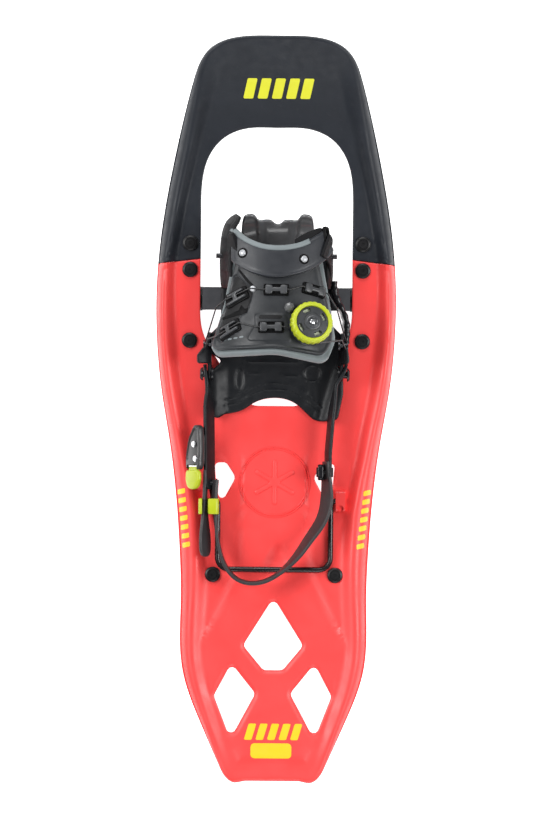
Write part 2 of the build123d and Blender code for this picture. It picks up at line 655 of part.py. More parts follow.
def make_lace():
    """The dial's lace: one loop through the guides and round the post on each wing."""
    path = exit_points("left") + guide_points("middle_rear") + guide_points("left_rear")
    path += [edge_point(-53, 58)] + hook_points(-1)[::-1] + [edge_point(-46.5, 84)]
    path += guide_points("left_front")[::-1] + guide_points("middle_front")[::-1]
    path += guide_points("right_front")[::-1] + [edge_point(47, 84)] + hook_points(1) + [edge_point(51, 58)]
    keep("lace", lace(path + exit_points("right")[::-1]))
    for name, sign in (("left", -1), ("right", 1)):
        post = cylinder_between((sign * (HOOK_X - WING_T - 0.6), HOOK_Y, HOOK_Z),
                                (sign * (HOOK_X + 3.4), HOOK_Y, HOOK_Z), 3)
        sleeve = cylinder_between((sign * (HOOK_X + 0.05), HOOK_Y, HOOK_Z),
                                  (sign * (HOOK_X + 2.6), HOOK_Y, HOOK_Z), HOOK_SHANK_D)
        for low, high in ((HOOK_X - WING_T - 1.6, HOOK_X - WING_T - 0.1), (HOOK_X + 2.6, HOOK_X + 3.6)):
            post += cylinder_between((sign * low, HOOK_Y, HOOK_Z), (sign * high, HOOK_Y, HOOK_Z), HOOK_HEAD_D)
        keep("lace_hook_" + name, post + sleeve)


def make_dial():
    """A base on the shell, a spool inside it, and a knob that turns and pulls out."""
    seat = dial_seat()
    skirt = Pos(0, 0, -DIAL_SKIRT) * extrude(Circle(BASE_WALL_OUT + 1), DIAL_SKIRT)
    base = skirt + extrude(Circle(BASE_WALL_OUT), DIAL_BASE_H)
    base -= Pos(0, 0, DIAL_FLOOR) * extrude(Circle(BASE_WALL_IN), DIAL_BASE_H)
    base = seat * base - pad_arch(PAD_R - 20, PAD_R + SHELL_T + 0.2)
    for name in EXITS:
        inner, outer = exit_points(name)
        base -= cylinder_between(inner - (outer - inner) * 0.3, outer, LACE_D + 0.4)
    post = extrude(Circle(2.5), DIAL_BASE_H + DIAL_H - DIAL_PULL - 2.0)
    post = seat * (Pos(0, 0, DIAL_FLOOR + 0.05) * post)
    flange, hub = extrude(Circle(10.5), 0.8), extrude(Circle(6.5), 4)
    spool = flange + Pos(0, 0, 3.2) * flange + hub - extrude(Circle(2.5 + RUNNING), 10)

    knob_low = DIAL_BASE_H + 0.4
    ring_in = DIAL_D / 2 - 3
    ring = extrude(Circle(DIAL_D / 2), DIAL_H) - extrude(Circle(ring_in), DIAL_H)
    ring = fillet(ring.edges().filter_by(GeomType.CIRCLE).group_by(Axis.Z)[-1], 1)
    for i in range(24):
        ring -= Rot(0, 0, 15 * i) * Pos(DIAL_D / 2 + 0.7, 0) * extrude(Circle(1.1), DIAL_H)
    grip = extrude(Circle(ring_in - 0.05), DIAL_H - 1.5)
    grip -= Pos(0, 0, 1) * extrude(Circle(7 + RUNNING), DIAL_H) + extrude(Circle(4), DIAL_H)
    for turn in (40, 160, 280):
        grip -= Rot(0, 0, turn) * Pos(10.8, 0, 4) * extrude(Rectangle(2.6, 6.5), DIAL_H)
    cap = Pos(0, 0, 1.1) * extrude(Circle(7), DIAL_H - 1.8)
    cap -= extrude(Circle(2.5 + RUNNING), DIAL_H - 1.6)
    cap -= Pos(0, 0, DIAL_H - 1.9) * extrude(RegularPolygon(2.2, 6), 4)
    lift = Pos(0, 0, knob_low)
    keep("dial_base", base)
    keep("dial_post", post)
    keep("dial_spool", seat * (Pos(0, 0, DIAL_FLOOR + 0.1) * spool))
    keep("dial_cap", seat * (lift * cap))
    keep("dial_grip", seat * (lift * grip))
    keep("dial_ring", seat * (lift * ring))


# ---------------------------------------------------------------- heel strap, arms and buckle
ARM_BEND_R = 7.0


def arm_band(path, low, height):
    """A straight-sided arm on edge, its corners bent to an easy radius."""
    band = offset(FilletPolyline(*path, radius=ARM_BEND_R), BAND_T / 2, side=Side.BOTH)
    return prism(make_face(band), low, low + height)


ARM_H, ARM_X, ARM_FRONT_Y = 14.0, WING_X + WING_T + 2.0, 37.0
ARM_LEFT = [(-ARM_X, ARM_FRONT_Y), (-ARM_X, 5), (-53.8, -50), (-53.8, -66)]
ARM_RIGHT = [(ARM_X, ARM_FRONT_Y), (ARM_X, 22), (49.5, 7), (45.4, -32), (45.4, -60)]
STRAP_PATH = [
    (42.3, -38), (42.3, -62), (41.8, -84), (31, -110), (12, -134), (-8, -145), (-28, -143), (-42, -127),
    (-48.5, -100), (-50.6, -56),
]
TAIL_PATH = [(-57.4, -50.4), (-57.7, -90), (-57, -119)]
STRAP_HOLE_D, RIVET_FACE_D = 4.0, 8.0


def make_heel_strap():
    """Side arms pivoted on the wings, the strap round the heel, its tail, keeper and rivets."""
    arm_low = STRAP_PIVOT_Z - ARM_H / 2
    pivot = [(-80, STRAP_PIVOT_Y, STRAP_PIVOT_Z), (80, STRAP_PIVOT_Y, STRAP_PIVOT_Z)]
    for name, path, sign in (("left", ARM_LEFT, -1), ("right", ARM_RIGHT, 1)):
        arm = arm_band(path, arm_low, ARM_H) - cylinder_between(*pivot, 6 + 2 * RUNNING)
        keep("strap_arm_" + name, arm)

        def pivot_part(low, high, diameter):
            return cylinder_between((sign * low, STRAP_PIVOT_Y, STRAP_PIVOT_Z),
                                    (sign * high, STRAP_PIVOT_Y, STRAP_PIVOT_Z), diameter)

        outer = ARM_X + BAND_T / 2
        rivet = pivot_part(WING_X - 1.8, outer + 0.3, 6) + pivot_part(WING_X - 1.8, WING_X - 0.1, 11)
        keep("arm_rivet_" + name, rivet + pivot_part(outer + 0.2, outer + 2, 11))

    band = band_outline(Spline(*STRAP_PATH, tangents=[(0, -1), (0, 1)]), BAND_T)
    band = prism(band, BAND_Z, BAND_Z + BAND_H)
    tail = prism(band_outline(Spline(*TAIL_PATH), BAND_T), BAND_Z + 0.5, BAND_Z + BAND_H - 0.5)
    tail_end = Pos(TAIL_PATH[-1][0], TAIL_PATH[-1][1] + 4, BAND_Z + BAND_H / 2) * Box(6, 12, BAND_H - 1)
    middle_z = BAND_Z + BAND_H / 2
    keeper = Box(17, 13, BAND_H + 4) - Pos(0.6, 0) * Box(12.8, 20, BAND_H + 1)
    keeper = Pos(-54.5, -80, middle_z) * keeper
    keeper -= Pos(-57.7, -80, BAND_Z + BAND_H + 2) * Box(4.4, 20, 8)
    anchor = Pos(38.4, -51, middle_z) * Box(4.6, 13, BAND_H)
    right_y, left_y = -51, -61

    def across(low, high, y, diameter):
        return cylinder_between((low, y, middle_z), (high, y, middle_z), diameter)

    right_rivet = across(34.6, 48.6, right_y, STRAP_HOLE_D)
    right_rivet += across(34.6, 36, right_y, RIVET_FACE_D)
    right_rivet += across(47.1, 48.6, right_y, RIVET_FACE_D)
    left_rivet = across(-55.2, -47.4, left_y, STRAP_HOLE_D) + across(-48.9, -47.4, left_y, RIVET_FACE_D)
    right_bore = across(30, 60, right_y, STRAP_HOLE_D + 0.1)
    left_bore = across(-56, -40, left_y, STRAP_HOLE_D + 0.1)
    keep("heel_strap", band - right_bore - left_bore)
    keep("strap_tail", tail + tail_end)
    keep("strap_keeper", keeper)
    keep("strap_anchor", anchor - right_bore - across(30, 36.05, right_y, RIVET_FACE_D + 0.1))
    keep("strap_rivets", Compound([right_rivet, left_rivet]))
    NODES["strap_arm_right"] -= right_bore
    NODES["strap_arm_left"] -= left_bore


HOUSING_REAR, HOUSING_FRONT = -50.0, -12.5
BUCKLE_SECTION = [(-50, 36.3), (-50, 56), (-64, 57), (-74, 43), (-72.5, 36.3)]
LEVER_PIVOT, LEVER_DEPTH = 46.5, -2.6
SCREW_ALONG = (28.0, 39.6)


def make_buckle():
    """The cam buckle on the left arm: a faceted housing, two screws and a flip lever."""
    face = make_face(Polyline(*BUCKLE_SECTION, close=True))
    housing = Pos(0, HOUSING_FRONT, 0) * (Plane.XZ * extrude(face, HOUSING_FRONT - HOUSING_REAR))
    inboard = Polygon((-ARM_X - 1.7, 5), (-55.5, -50), (-55.5, -70), (-40, -70), (-40, 5), align=None)
    housing -= tall(inboard)
    top, bottom = Vector(*BUCKLE_SECTION[2]), Vector(*BUCKLE_SECTION[3])
    middle, slope = (top + bottom) / 2, bottom - top
    frame = Plane(origin=(middle.X, 0, middle.Y), x_dir=(0, -1, 0), z_dir=(slope.Y, 0, -slope.X))

    def placed(along, height, shape):
        return frame * (Pos(along, 0, height) * shape)

    hinge = Rot(90, 0, 0)
    housing -= placed(50.2, -3.4, Box(14.6, 13.4, 7.2))
    housing -= placed(LEVER_PIVOT, LEVER_DEPTH, hinge * Cylinder(1.52, 16.6))
    lever = placed(55, LEVER_DEPTH, Box(22, 12.6, 3.2)) + placed(59.5, -0.9, Box(13, 12.6, 2.4))
    lever -= placed(LEVER_PIVOT, LEVER_DEPTH, hinge * Cylinder(1.5 + RUNNING, 40))
    screws = []
    for along in SCREW_ALONG:
        housing -= placed(along, -3, Cylinder(1.65, 8.2))
        screws.append(placed(along, -2.6, Cylinder(1.6, 7.6)) + placed(along, 1.6, Cylinder(2.6, 1.4)))
    keep("buckle_housing", housing)
    keep("buckle_lever", lever)
    keep("buckle_lever_pin", placed(LEVER_PIVOT, LEVER_DEPTH, hinge * Cylinder(1.5, 16.4)))
    keep("buckle_screws", Compound(screws))


# ---------------------------------------------------------------- heel lift
def make_heel_lift():
    """A wire bail that folds up under the heel, in two moulded clips screwed to the deck."""
    half = [(BAIL_X, BAIL_CROSS_Y), (BAIL_X, BAIL_PIVOT_Y), (BAIL_END_X, BAIL_PIVOT_Y)]
    path = [(x, y, BAIL_Z) for x, y in flipped(half) + half]
    line = FilletPolyline(*path, radius=[BAIL_END_R, BAIL_CORNER_R, BAIL_CORNER_R, BAIL_END_R])
    section = Plane(origin=path[0], z_dir=(1, 0, 0)) * Circle(BAIL_D / 2)
    keep("heel_lift_bail", sweep(section, path=line))
    clip = Pos(LIFT_CLIP_X, BAIL_PIVOT_Y, DECK_TOP + 3.6) * Box(8, 18, 7.2)
    clip = fillet(clip.edges().filter_by(Axis.X).group_by(Axis.Z)[-1], 3)
    clip -= cylinder_between((40, BAIL_PIVOT_Y, BAIL_Z), (70, BAIL_PIVOT_Y, BAIL_Z), BAIL_D + 2 * RUNNING)
    screw_y = BAIL_PIVOT_Y - 6.2
    screw_hole = upright_hole(LIFT_CLIP_X, screw_y, 3.1)
    clip -= screw_hole
    sink_z = DECK_TOP + 3.5

    def upright(low, high, diameter):
        return cylinder_between((LIFT_CLIP_X, screw_y, low), (LIFT_CLIP_X, screw_y, high), diameter)

    clip -= upright(sink_z, 60, 5.2)
    screw = upright(DECK_BOTTOM + 0.2, sink_z + 0.1, 3) + upright(sink_z + 0.1, sink_z + 1.6, 5)
    right, left = both_sides(clip)
    keep("heel_lift_clip_right", right)
    keep("heel_lift_clip_left", left)
    keep("heel_lift_screws", Compound(both_sides(screw)))
    for hole in both_sides(screw_hole):
        NODES["tail_deck"] -= hole


make_deck()
make_rails_and_rivets()
make_axle()
make_crampon()
make_base()
make_toe()
make_pad()
make_guides()
make_lace()
make_dial()
make_heel_strap()
make_buckle()
make_heel_lift()

os.makedirs("parts", exist_ok=True)
for node_name, node_shape in NODES.items():
    export_step(node_shape, f"parts/{node_name}.step")
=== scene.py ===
"""The looks of a snowshoe: moulded deck, binding with dial lace, heel strap and heel lift.

Shapes are written in millimetres in the CAD frame (+Y to the toe, +Z up) and turned into metres when a
mesh is made. Each piece rides on the CAD body that it belongs to.
"""

import json
from math import asin, cos, pi, radians, sin, tan

import bmesh
import bpy
import numpy as np
from mathutils import Matrix, Vector
from mathutils.geometry import delaunay_2d_cdt


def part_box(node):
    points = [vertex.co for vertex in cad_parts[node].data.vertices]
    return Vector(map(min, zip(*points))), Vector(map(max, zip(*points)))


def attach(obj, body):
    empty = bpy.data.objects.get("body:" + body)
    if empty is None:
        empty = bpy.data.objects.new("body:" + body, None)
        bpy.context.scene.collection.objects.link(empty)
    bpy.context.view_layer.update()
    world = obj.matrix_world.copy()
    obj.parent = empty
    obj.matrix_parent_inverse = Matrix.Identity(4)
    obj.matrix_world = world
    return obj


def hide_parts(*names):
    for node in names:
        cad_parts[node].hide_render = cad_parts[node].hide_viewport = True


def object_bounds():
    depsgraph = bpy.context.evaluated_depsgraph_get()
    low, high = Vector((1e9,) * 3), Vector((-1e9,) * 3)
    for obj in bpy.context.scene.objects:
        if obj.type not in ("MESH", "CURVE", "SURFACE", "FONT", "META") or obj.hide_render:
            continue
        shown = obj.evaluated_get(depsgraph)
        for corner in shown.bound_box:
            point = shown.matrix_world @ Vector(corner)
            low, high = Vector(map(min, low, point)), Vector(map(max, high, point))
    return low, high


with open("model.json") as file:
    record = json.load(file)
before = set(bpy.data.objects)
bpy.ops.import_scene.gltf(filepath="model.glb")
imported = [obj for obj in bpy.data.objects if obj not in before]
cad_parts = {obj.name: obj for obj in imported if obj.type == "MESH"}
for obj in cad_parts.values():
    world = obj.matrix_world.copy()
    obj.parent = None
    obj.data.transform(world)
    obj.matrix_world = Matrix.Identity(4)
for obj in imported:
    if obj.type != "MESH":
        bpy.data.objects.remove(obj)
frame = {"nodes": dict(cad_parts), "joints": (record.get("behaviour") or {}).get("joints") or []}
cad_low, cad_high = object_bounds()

MM = 0.001


def cad(node):
    """The low and high corners of a CAD node, in millimetres."""
    low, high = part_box(node)
    return np.array(low) / MM, np.array(high) / MM


def centre_of(node):
    """The middle of a CAD node's box, in millimetres."""
    low, high = cad(node)
    return (low + high) / 2


def joint(name):
    """The row of a joint in the frame."""
    return next(j for j in frame["joints"] if j["name"] == name)


def axes_at(origin, *axes):
    """The matrix that carries X, Y and Z to three axes at a point."""
    matrix = Matrix(np.column_stack(axes).tolist()).to_4x4()
    matrix.translation = origin
    return matrix


# ---------------------------------------------------------------- outlines in a plane
def lengths_of(line):
    """How far along a line each of its points is."""
    return np.concatenate([[0], np.cumsum(np.linalg.norm(np.diff(line, axis=0), axis=1))])


def heading_of(line):
    """The unit direction of an open line at each of its points."""
    ahead = np.gradient(line, axis=0)
    return ahead / np.linalg.norm(ahead, axis=1)[:, None]


def normal_of(loop):
    """The unit normal of a closed loop in its plane at each of its points."""
    along = np.roll(loop, -1, axis=0) - np.roll(loop, 1, axis=0)
    return np.column_stack([-along[:, 1], along[:, 0]]) / np.linalg.norm(along, axis=1)[:, None]


def even(line, step):
    """The same line with evenly spaced points."""
    line = np.asarray(line, float)
    along = lengths_of(line)
    count = max(2, int(round(along[-1] / step)) + 1)
    at = np.linspace(0, along[-1], count)
    return np.stack([np.interp(at, along, line[:, k]) for k in range(line.shape[1])], axis=1)


def unit(vector):
    """The vector at length 1."""
    vector = np.asarray(vector, float)
    return vector / np.linalg.norm(vector)


def spline(points, step=2.0, start=None, end=None):
    """The smooth cubic curve through the points; start and end are the directions at its ends."""
    p = np.array(points, float)
    n, chord = len(p), np.linalg.norm(np.diff(p, axis=0), axis=1)
    slope = np.diff(p, axis=0) / chord[:, None]
    a, b = np.zeros((n, n)), np.zeros(p.shape)
    a[0, 0] = a[-1, -1] = 1
    for i in range(1, n - 1):
        a[i, i - 1:i + 2] = chord[i - 1], 2 * (chord[i - 1] + chord[i]), chord[i]
        b[i] = 6 * (slope[i] - slope[i - 1])
    if start is not None:
        a[0, :2], b[0] = (2 * chord[0], chord[0]), 6 * (slope[0] - unit(start))
    if end is not None:
        a[-1, -2:], b[-1] = (chord[-1], 2 * chord[-1]), 6 * (unit(end) - slope[-1])
    bend = np.linalg.solve(a, b)
    knots = lengths_of(p)
    at = np.linspace(0, knots[-1], 24 * n)
    k = np.clip(np.searchsorted(knots, at, side="right") - 1, 0, n - 2)
    h, u = chord[k][:, None], (at - knots[k])[:, None]
    left = bend[k] * (h - u) ** 3 / (6 * h) + (p[k] / h - bend[k] * h / 6) * (h - u)
    right = bend[k + 1] * u ** 3 / (6 * h) + (p[k + 1] / h - bend[k + 1] * h / 6) * u
    return even(left + right, step)


def joined(*lines):
    """Lines end to end as one closed loop, with no point twice."""
    points = np.concatenate([np.asarray(line, float) for line in lines])
    kept = [p for p, q in zip(points, np.roll(points, 1, axis=0)) if np.linalg.norm(p - q) > 0.05]
    return np.array(kept)


def mirrored(half):
    """A closed loop from its right half, which runs from X = 0 to X = 0."""
    half = np.asarray(half, float)
    return joined(half, half[::-1] * (-1, 1))


def eased(before, corner, after, radius, most):
    """The directions from a corner along its sides, half its angle, and how far from it an arc starts."""
    u, v = unit(before - corner), unit(after - corner)
    half = 0.5 * np.arccos(np.clip(u @ v, -1, 1))
    shorter = min(np.linalg.norm(before - corner), np.linalg.norm(after - corner))
    return u, v, half, min(radius / tan(half), most * shorter)


def rounded(points, radius, step=2.0):
    """A closed polygon with its corners rounded."""
    points, out = np.array(points, float), []
    radii = np.broadcast_to(radius, len(points))
    sides = zip(np.roll(points, 1, axis=0), points, np.roll(points, -1, axis=0), radii)
    for before, corner, after, r in sides:
        u, v, half, reach = eased(before, corner, after, r, 0.48)
        r = reach * tan(half)
        centre = corner + unit(u + v) * r / sin(half)
        a, b = corner + u * reach - centre, corner + v * reach - centre
        count = max(3, int((pi - 2 * half) * r / min(step, 0.8)))
        for t in np.linspace(0, 1, count):
            out.append(centre + unit(a * (1 - t) + b * t) * r)
    out.append(out[0])
    return joined(even(out, step))


def oblong(low, high, radius, step):
    """A rounded rectangle between two corners as a closed loop."""
    (x0, y0), (x1, y1) = low, high
    return rounded([(x0, y0), (x1, y0), (x1, y1), (x0, y1)], radius, step)


def circle(radius, step=1.5, centre=(0, 0)):
    """A circle as a closed loop."""
    count = max(12, int(2 * pi * radius / step))
    turn = np.linspace(0, 2 * pi, count, endpoint=False)
    return np.stack([np.cos(turn), np.sin(turn)], axis=1) * radius + centre


def inside(loop, xy):
    """Whether each point is inside a closed loop."""
    a, b = loop, np.roll(loop, -1, axis=0)
    x, y = xy[:, :1], xy[:, 1:2]
    rise = np.where(b[:, 1] == a[:, 1], 1, b[:, 1] - a[:, 1])
    crosses = (a[:, 1] > y) != (b[:, 1] > y)
    return (crosses & (x < a[:, 0] + (y - a[:, 1]) * (b[:, 0] - a[:, 0]) / rise)).sum(axis=1) % 2 == 1


def covered(loops, xy):
    """Whether points are inside the first loop and outside the others."""
    return inside(loops[0], xy) & ~np.any([inside(hole, xy) for hole in loops[1:]] or [False], axis=0)


def distance(line, xy, closed=True):
    """How far each point is from a line."""
    a = np.asarray(line, float)
    a, b = (a, np.roll(a, -1, axis=0)) if closed else (a[:-1], a[1:])
    run, out = b - a, []
    for part in np.array_split(xy, 1 + len(xy) * len(a) // 1_500_000):
        away = part[:, None, :] - a
        t = np.clip((away * run).sum(axis=2) / (run * run).sum(axis=1), 0, 1)
        out.append(np.sqrt(((away - t[..., None] * run) ** 2).sum(axis=2).min(axis=1)))
    return np.concatenate(out)


def smooth(t):
    """An eased step from 0 to 1."""
    t = np.clip(t, 0, 1)
    return t * t * (3 - 2 * t)


def soften(edge, radius):
    """How far a surface falls near its edge, as a quarter round."""
    inner = np.clip(edge, 0, radius)
    return radius - np.sqrt(np.maximum(radius ** 2 - (radius - inner) ** 2, 0))


def bump(value, at, width):
    """A soft bump of height 1 where the value is near a given one."""
    return np.exp(-((value - at) / width) ** 2)


def over(level, radius):
    """An upper surface at one level, with its edge rounded off."""
    return lambda p, e: level - soften(e, radius)


def under(level, radius=0.0):
    """A lower surface at one level, with its edge rounded off."""
    return lambda p, e: level + soften(e, radius)


# ---------------------------------------------------------------- mesh parts
def flat(xy, height):
    """Plan points at their heights."""
    return np.column_stack([xy, height])


def at_height(line, z):
    """A line in the plan carried to one height."""
    return flat(line, np.full(len(line), z))


RIM = (0.3, 0.8, 1.4)  # how far inside an edge the mesh has its rows of points


def sheet(outline, holes, top, bottom, place=flat, step=4.0, rings=RIM, extra=None):
    """A closed solid over an outline with holes. top and bottom give its heights from the points and
    their distance from the nearest edge, and place carries the points and heights to space."""
    loops = [np.asarray(loop, float) for loop in (outline, *holes)]
    found, limits = [], []
    for loop in loops:
        for inset in rings:
            for side in (1, -1):
                found.append(loop + normal_of(loop) * side * inset)
                limits.append(np.full(len(loop), inset * 0.96))
    low, high = loops[0].min(axis=0), loops[0].max(axis=0)
    rows = np.arange(low[1] + step / 2, high[1], step * 0.87)
    for i, y in enumerate(rows):
        x = np.arange(low[0] + step / 2 * (i % 2), high[0], step)
        found.append(np.column_stack([x, np.full(len(x), y)]))
        limits.append(np.full(len(x), (rings[-1] if rings else 0) + step * 0.35))
    if extra is not None:
        found.append(extra)
        limits.append(np.full(len(extra), 0.3))
    points, limits = np.concatenate(found), np.concatenate(limits)
    good = covered(loops, points)
    points, limits = points[good], limits[good]
    nearest = np.min([distance(loop, points) for loop in loops], axis=0)
    points = points[nearest >= limits]
    coords, edges = np.concatenate([*loops, points]), []
    first = 0
    for loop in loops:
        edges += [(first + i, first + (i + 1) % len(loop)) for i in range(len(loop))]
        first += len(loop)
    verts, _, faces, *_ = delaunay_2d_cdt([Vector(p) for p in coords], edges, [], 0, 1e-4)
    xy = np.array([tuple(v) for v in verts])
    faces = np.array([f for f in faces if len(f) == 3])
    faces = faces[covered(loops, xy[faces].mean(axis=1))]
    a, b, c = (xy[faces[:, k]] for k in range(3))
    area = (b[:, 0] - a[:, 0]) * (c[:, 1] - a[:, 1]) - (b[:, 1] - a[:, 1]) * (c[:, 0] - a[:, 0])
    whole = np.abs(area) > 1e-6
    faces, area = faces[whole], area[whole]
    faces[area < 0] = faces[area < 0][:, ::-1]
    edge = np.min([distance(loop, xy) for loop in loops], axis=0)
    upper, lower = place(xy, top(xy, edge)), place(xy, bottom(xy, edge))
    n, directed = len(xy), set()
    for f in faces.tolist():
        directed |= {(f[0], f[1]), (f[1], f[2]), (f[2], f[0])}
    walls = [(b, a, a + n, b + n) for a, b in directed if (b, a) not in directed]
    return np.concatenate([upper, lower]), faces.tolist() + (faces[:, ::-1] + n).tolist() + walls


def slab(outline, low, high, rounding=0.8, holes=(), place=flat, step=4.0):
    """A plate of even thickness with rounded edges on both faces."""
    r = min(rounding, (high - low) * 0.49)
    rings = (r * 0.12, r * 0.45, r)
    return sheet(outline, holes, over(high, r), under(low, r), place, step, rings)


def sweep(path, section, up=(0, 0, 1), tilt=0.0, scale=1.0):
    """A section of (across, up) points carried along a path. tilt turns it about the path, in degrees, and
    scale sizes it; both may change along the path."""
    path, section = np.asarray(path, float), np.asarray(section, float)
    count = len(path)
    ahead = heading_of(path)
    side = np.cross(ahead, np.broadcast_to(up, path.shape))
    side /= np.linalg.norm(side, axis=1)[:, None]
    over = np.cross(side, ahead)
    turn = np.radians(np.broadcast_to(tilt, count))[:, None]
    side, over = side * np.cos(turn) + over * np.sin(turn), over * np.cos(turn) - side * np.sin(turn)
    size = np.broadcast_to(scale, (count, 2))
    across, rise = section[:, 0], section[:, 1]
    verts = (path[:, None] + side[:, None] * (across * size[:, :1])[..., None]
             + over[:, None] * (rise * size[:, 1:])[..., None]).reshape(-1, 3)
    k, faces = len(section), []
    for i in range(count - 1):
        faces += [(i * k + m, i * k + (m + 1) % k, (i + 1) * k + (m + 1) % k, (i + 1) * k + m)
                  for m in range(k)]
    faces += [tuple(range(k))[::-1], tuple(range((count - 1) * k, count * k))]
    return verts, faces


def box_section(width, height, rounding):
    """A rounded rectangle as a section, width across and height up."""
    points, steps = [], 4
    for sx, sy, start in ((1, -1, -90), (1, 1, 0), (-1, 1, 90), (-1, -1, 180)):
        for k in range(steps + 1):
            turn = radians(start + 90 * k / steps)
            points.append((sx * (width / 2 - rounding) + rounding * cos(turn),
                           sy * (height / 2 - rounding) + rounding * sin(turn)))
    return points


def lathe(profile, place, steps=48):
    """A profile of (radius, height) turned about Z, then placed by a matrix."""
    verts, faces = [], []
    for r, z in profile:
        for i in range(steps):
            turn = 2 * pi * i / steps
            verts.append(place @ Vector((r * cos(turn), r * sin(turn), z)))
    rows = len(profile)
    for j in range(rows - 1):
        for i in range(steps):
            k = (i + 1) % steps
            faces.append((j * steps + i, j * steps + k, (j + 1) * steps + k, (j + 1) * steps + i))
    faces += [tuple(range(steps))[::-1], tuple(range((rows - 1) * steps, rows * steps))]
    return np.array([tuple(v) for v in verts]), faces


def moved(part, place):
    """A mesh part carried by a matrix."""
    verts, faces = part
    m = np.array(place)
    return verts @ m[:3, :3].T + m[:3, 3], faces


def linked(name, data):
    """An object of the scene that holds the data."""
    obj = bpy.data.objects.new(name, data)
    bpy.context.scene.collection.objects.link(obj)
    return obj


def piece(name, parts, material, body, slot, stands_for=(), sharp=32):
    """A Blender object from mesh parts, in place, riding on its body."""
    verts, faces, first = [], [], 0
    for part_verts, part_faces in parts:
        verts.append(np.asarray(part_verts, float))
        faces += [tuple(int(i) + first for i in face) for face in part_faces]
        first += len(part_verts)
    mesh = bpy.data.meshes.new(name)
    mesh.from_pydata((np.concatenate(verts) * MM).tolist(), [], faces)
    mesh.validate()
    shape = bmesh.new()
    shape.from_mesh(mesh)
    bmesh.ops.recalc_face_normals(shape, faces=shape.faces)
    shape.to_mesh(mesh)
    shape.free()
    obj = linked(name, mesh)
    mesh.shade_smooth()
    mesh.set_sharp_from_angle(angle=radians(sharp))
    mesh.materials.append(material)
    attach(obj, body)
    if stands_for:
        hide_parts(*stands_for)
    return obj


# ---------------------------------------------------------------- materials
def finish_of(name, colour, rough, metal=0.0, grain=0.0, grain_mm=0.6, shade=0.12, patch_mm=22.0,
              coat=0.0, specular=0.5, weave_mm=0.0, sheen=0.0, scuffs=0.0):
    """A procedural finish: patches of tone, fine grain in the relief, and uneven gloss."""
    material = bpy.data.materials.new(name)
    material.use_nodes = True
    nodes, links = material.node_tree.nodes, material.node_tree.links
    shader = nodes["Principled BSDF"]
    shader.inputs["Metallic"].default_value = metal
    shader.inputs["Coat Weight"].default_value = coat
    shader.inputs["Coat Roughness"].default_value = 0.18
    shader.inputs["Specular IOR Level"].default_value = specular
    shader.inputs["Sheen Weight"].default_value = sheen
    place = nodes.new("ShaderNodeTexCoord")

    def noise(size_mm, detail=3.0):
        texture = nodes.new("ShaderNodeTexNoise")
        texture.inputs["Scale"].default_value = 1 / (size_mm * MM)
        texture.inputs["Detail"].default_value = detail
        links.new(place.outputs["Object"], texture.inputs["Vector"])
        return texture.outputs["Fac"]

    def ranged(value, low, high, start=0.3, stop=0.7):
        node = nodes.new("ShaderNodeMapRange")
        node.inputs["From Min"].default_value = start
        node.inputs["From Max"].default_value = stop
        node.inputs["To Min"].default_value = low
        node.inputs["To Max"].default_value = high
        links.new(value, node.inputs["Value"])
        return node.outputs["Result"]

    def mixed(factor, first, second):
        node = nodes.new("ShaderNodeMix")
        node.data_type = "RGBA"
        links.new(factor, node.inputs["Factor"])
        for socket, value in ((node.inputs["A"], first), (node.inputs["B"], second)):
            if isinstance(value, tuple):
                socket.default_value = (*value, 1)
            else:
                links.new(value, socket)
        return node.outputs["Result"]

    patches = noise(patch_mm)
    dark = tuple(c * (1 - shade) for c in colour)
    light = tuple(min(1, c * (1 + shade)) for c in colour)
    tone = mixed(ranged(patches, 0, 1), dark, light)
    if scuffs:
        marks = ranged(noise(5.0, 8.0), 0, scuffs, 0.62, 0.78)
        tone = mixed(marks, tone, tuple(c * 0.6 + 0.25 for c in colour))
    links.new(tone, shader.inputs["Base Color"])
    links.new(ranged(noise(patch_mm / 3, 5.0), rough - 0.06, rough + 0.08), shader.inputs["Roughness"])
    if grain or weave_mm:
        bump = nodes.new("ShaderNodeBump")
        bump.inputs["Strength"].default_value = grain or 0.5
        if weave_mm:
            bump.inputs["Distance"].default_value = weave_mm * 0.3 * MM
            waves = []
            for axis in ("X", "Y"):
                wave = nodes.new("ShaderNodeTexWave")
                wave.bands_direction = axis
                wave.inputs["Scale"].default_value = 0.314 / (weave_mm * MM)
                wave.inputs["Distortion"].default_value = 0.6
                links.new(place.outputs["Object"], wave.inputs["Vector"])
                waves.append(wave.outputs["Fac"])
            node = nodes.new("ShaderNodeMath")
            node.operation = "MULTIPLY"
            links.new(waves[0], node.inputs[0])
            links.new(waves[1], node.inputs[1])
            links.new(node.outputs["Value"], bump.inputs["Height"])
        else:
            bump.inputs["Distance"].default_value = grain_mm * 0.2 * MM
            links.new(noise(grain_mm, 2.0), bump.inputs["Height"])
        links.new(bump.outputs["Normal"], shader.inputs["Normal"])
    return material


FRAME_BLACK = finish_of("frame_black", (0.014, 0.0165, 0.022), 0.46, grain=0.25, shade=0.1, specular=0.26,
                        scuffs=0.02)
CORAL = finish_of("deck_coral", (0.84, 0.050, 0.048), 0.42, grain=0.22, shade=0.03, patch_mm=60, specular=0.5)
RAIL_STEEL = finish_of("rail_steel", (0.27, 0.28, 0.30), 0.44, metal=1.0, grain=0.2, grain_mm=1.2, scuffs=0.1)
RIVET_BLACK = finish_of("rivet_black", (0.007, 0.007, 0.008), 0.40, grain=0.2, specular=0.3)
FASTENER = finish_of("fastener_steel", (0.72, 0.73, 0.75), 0.26, metal=1.0, grain=0.15, grain_mm=0.9)
DARK_STEEL = finish_of("dark_steel", (0.06, 0.06, 0.065), 0.35, metal=1.0, grain=0.15, grain_mm=0.9)
BUSH_BLACK = finish_of("bush_black", (0.01, 0.01, 0.011), 0.45, grain=0.2, specular=0.35)
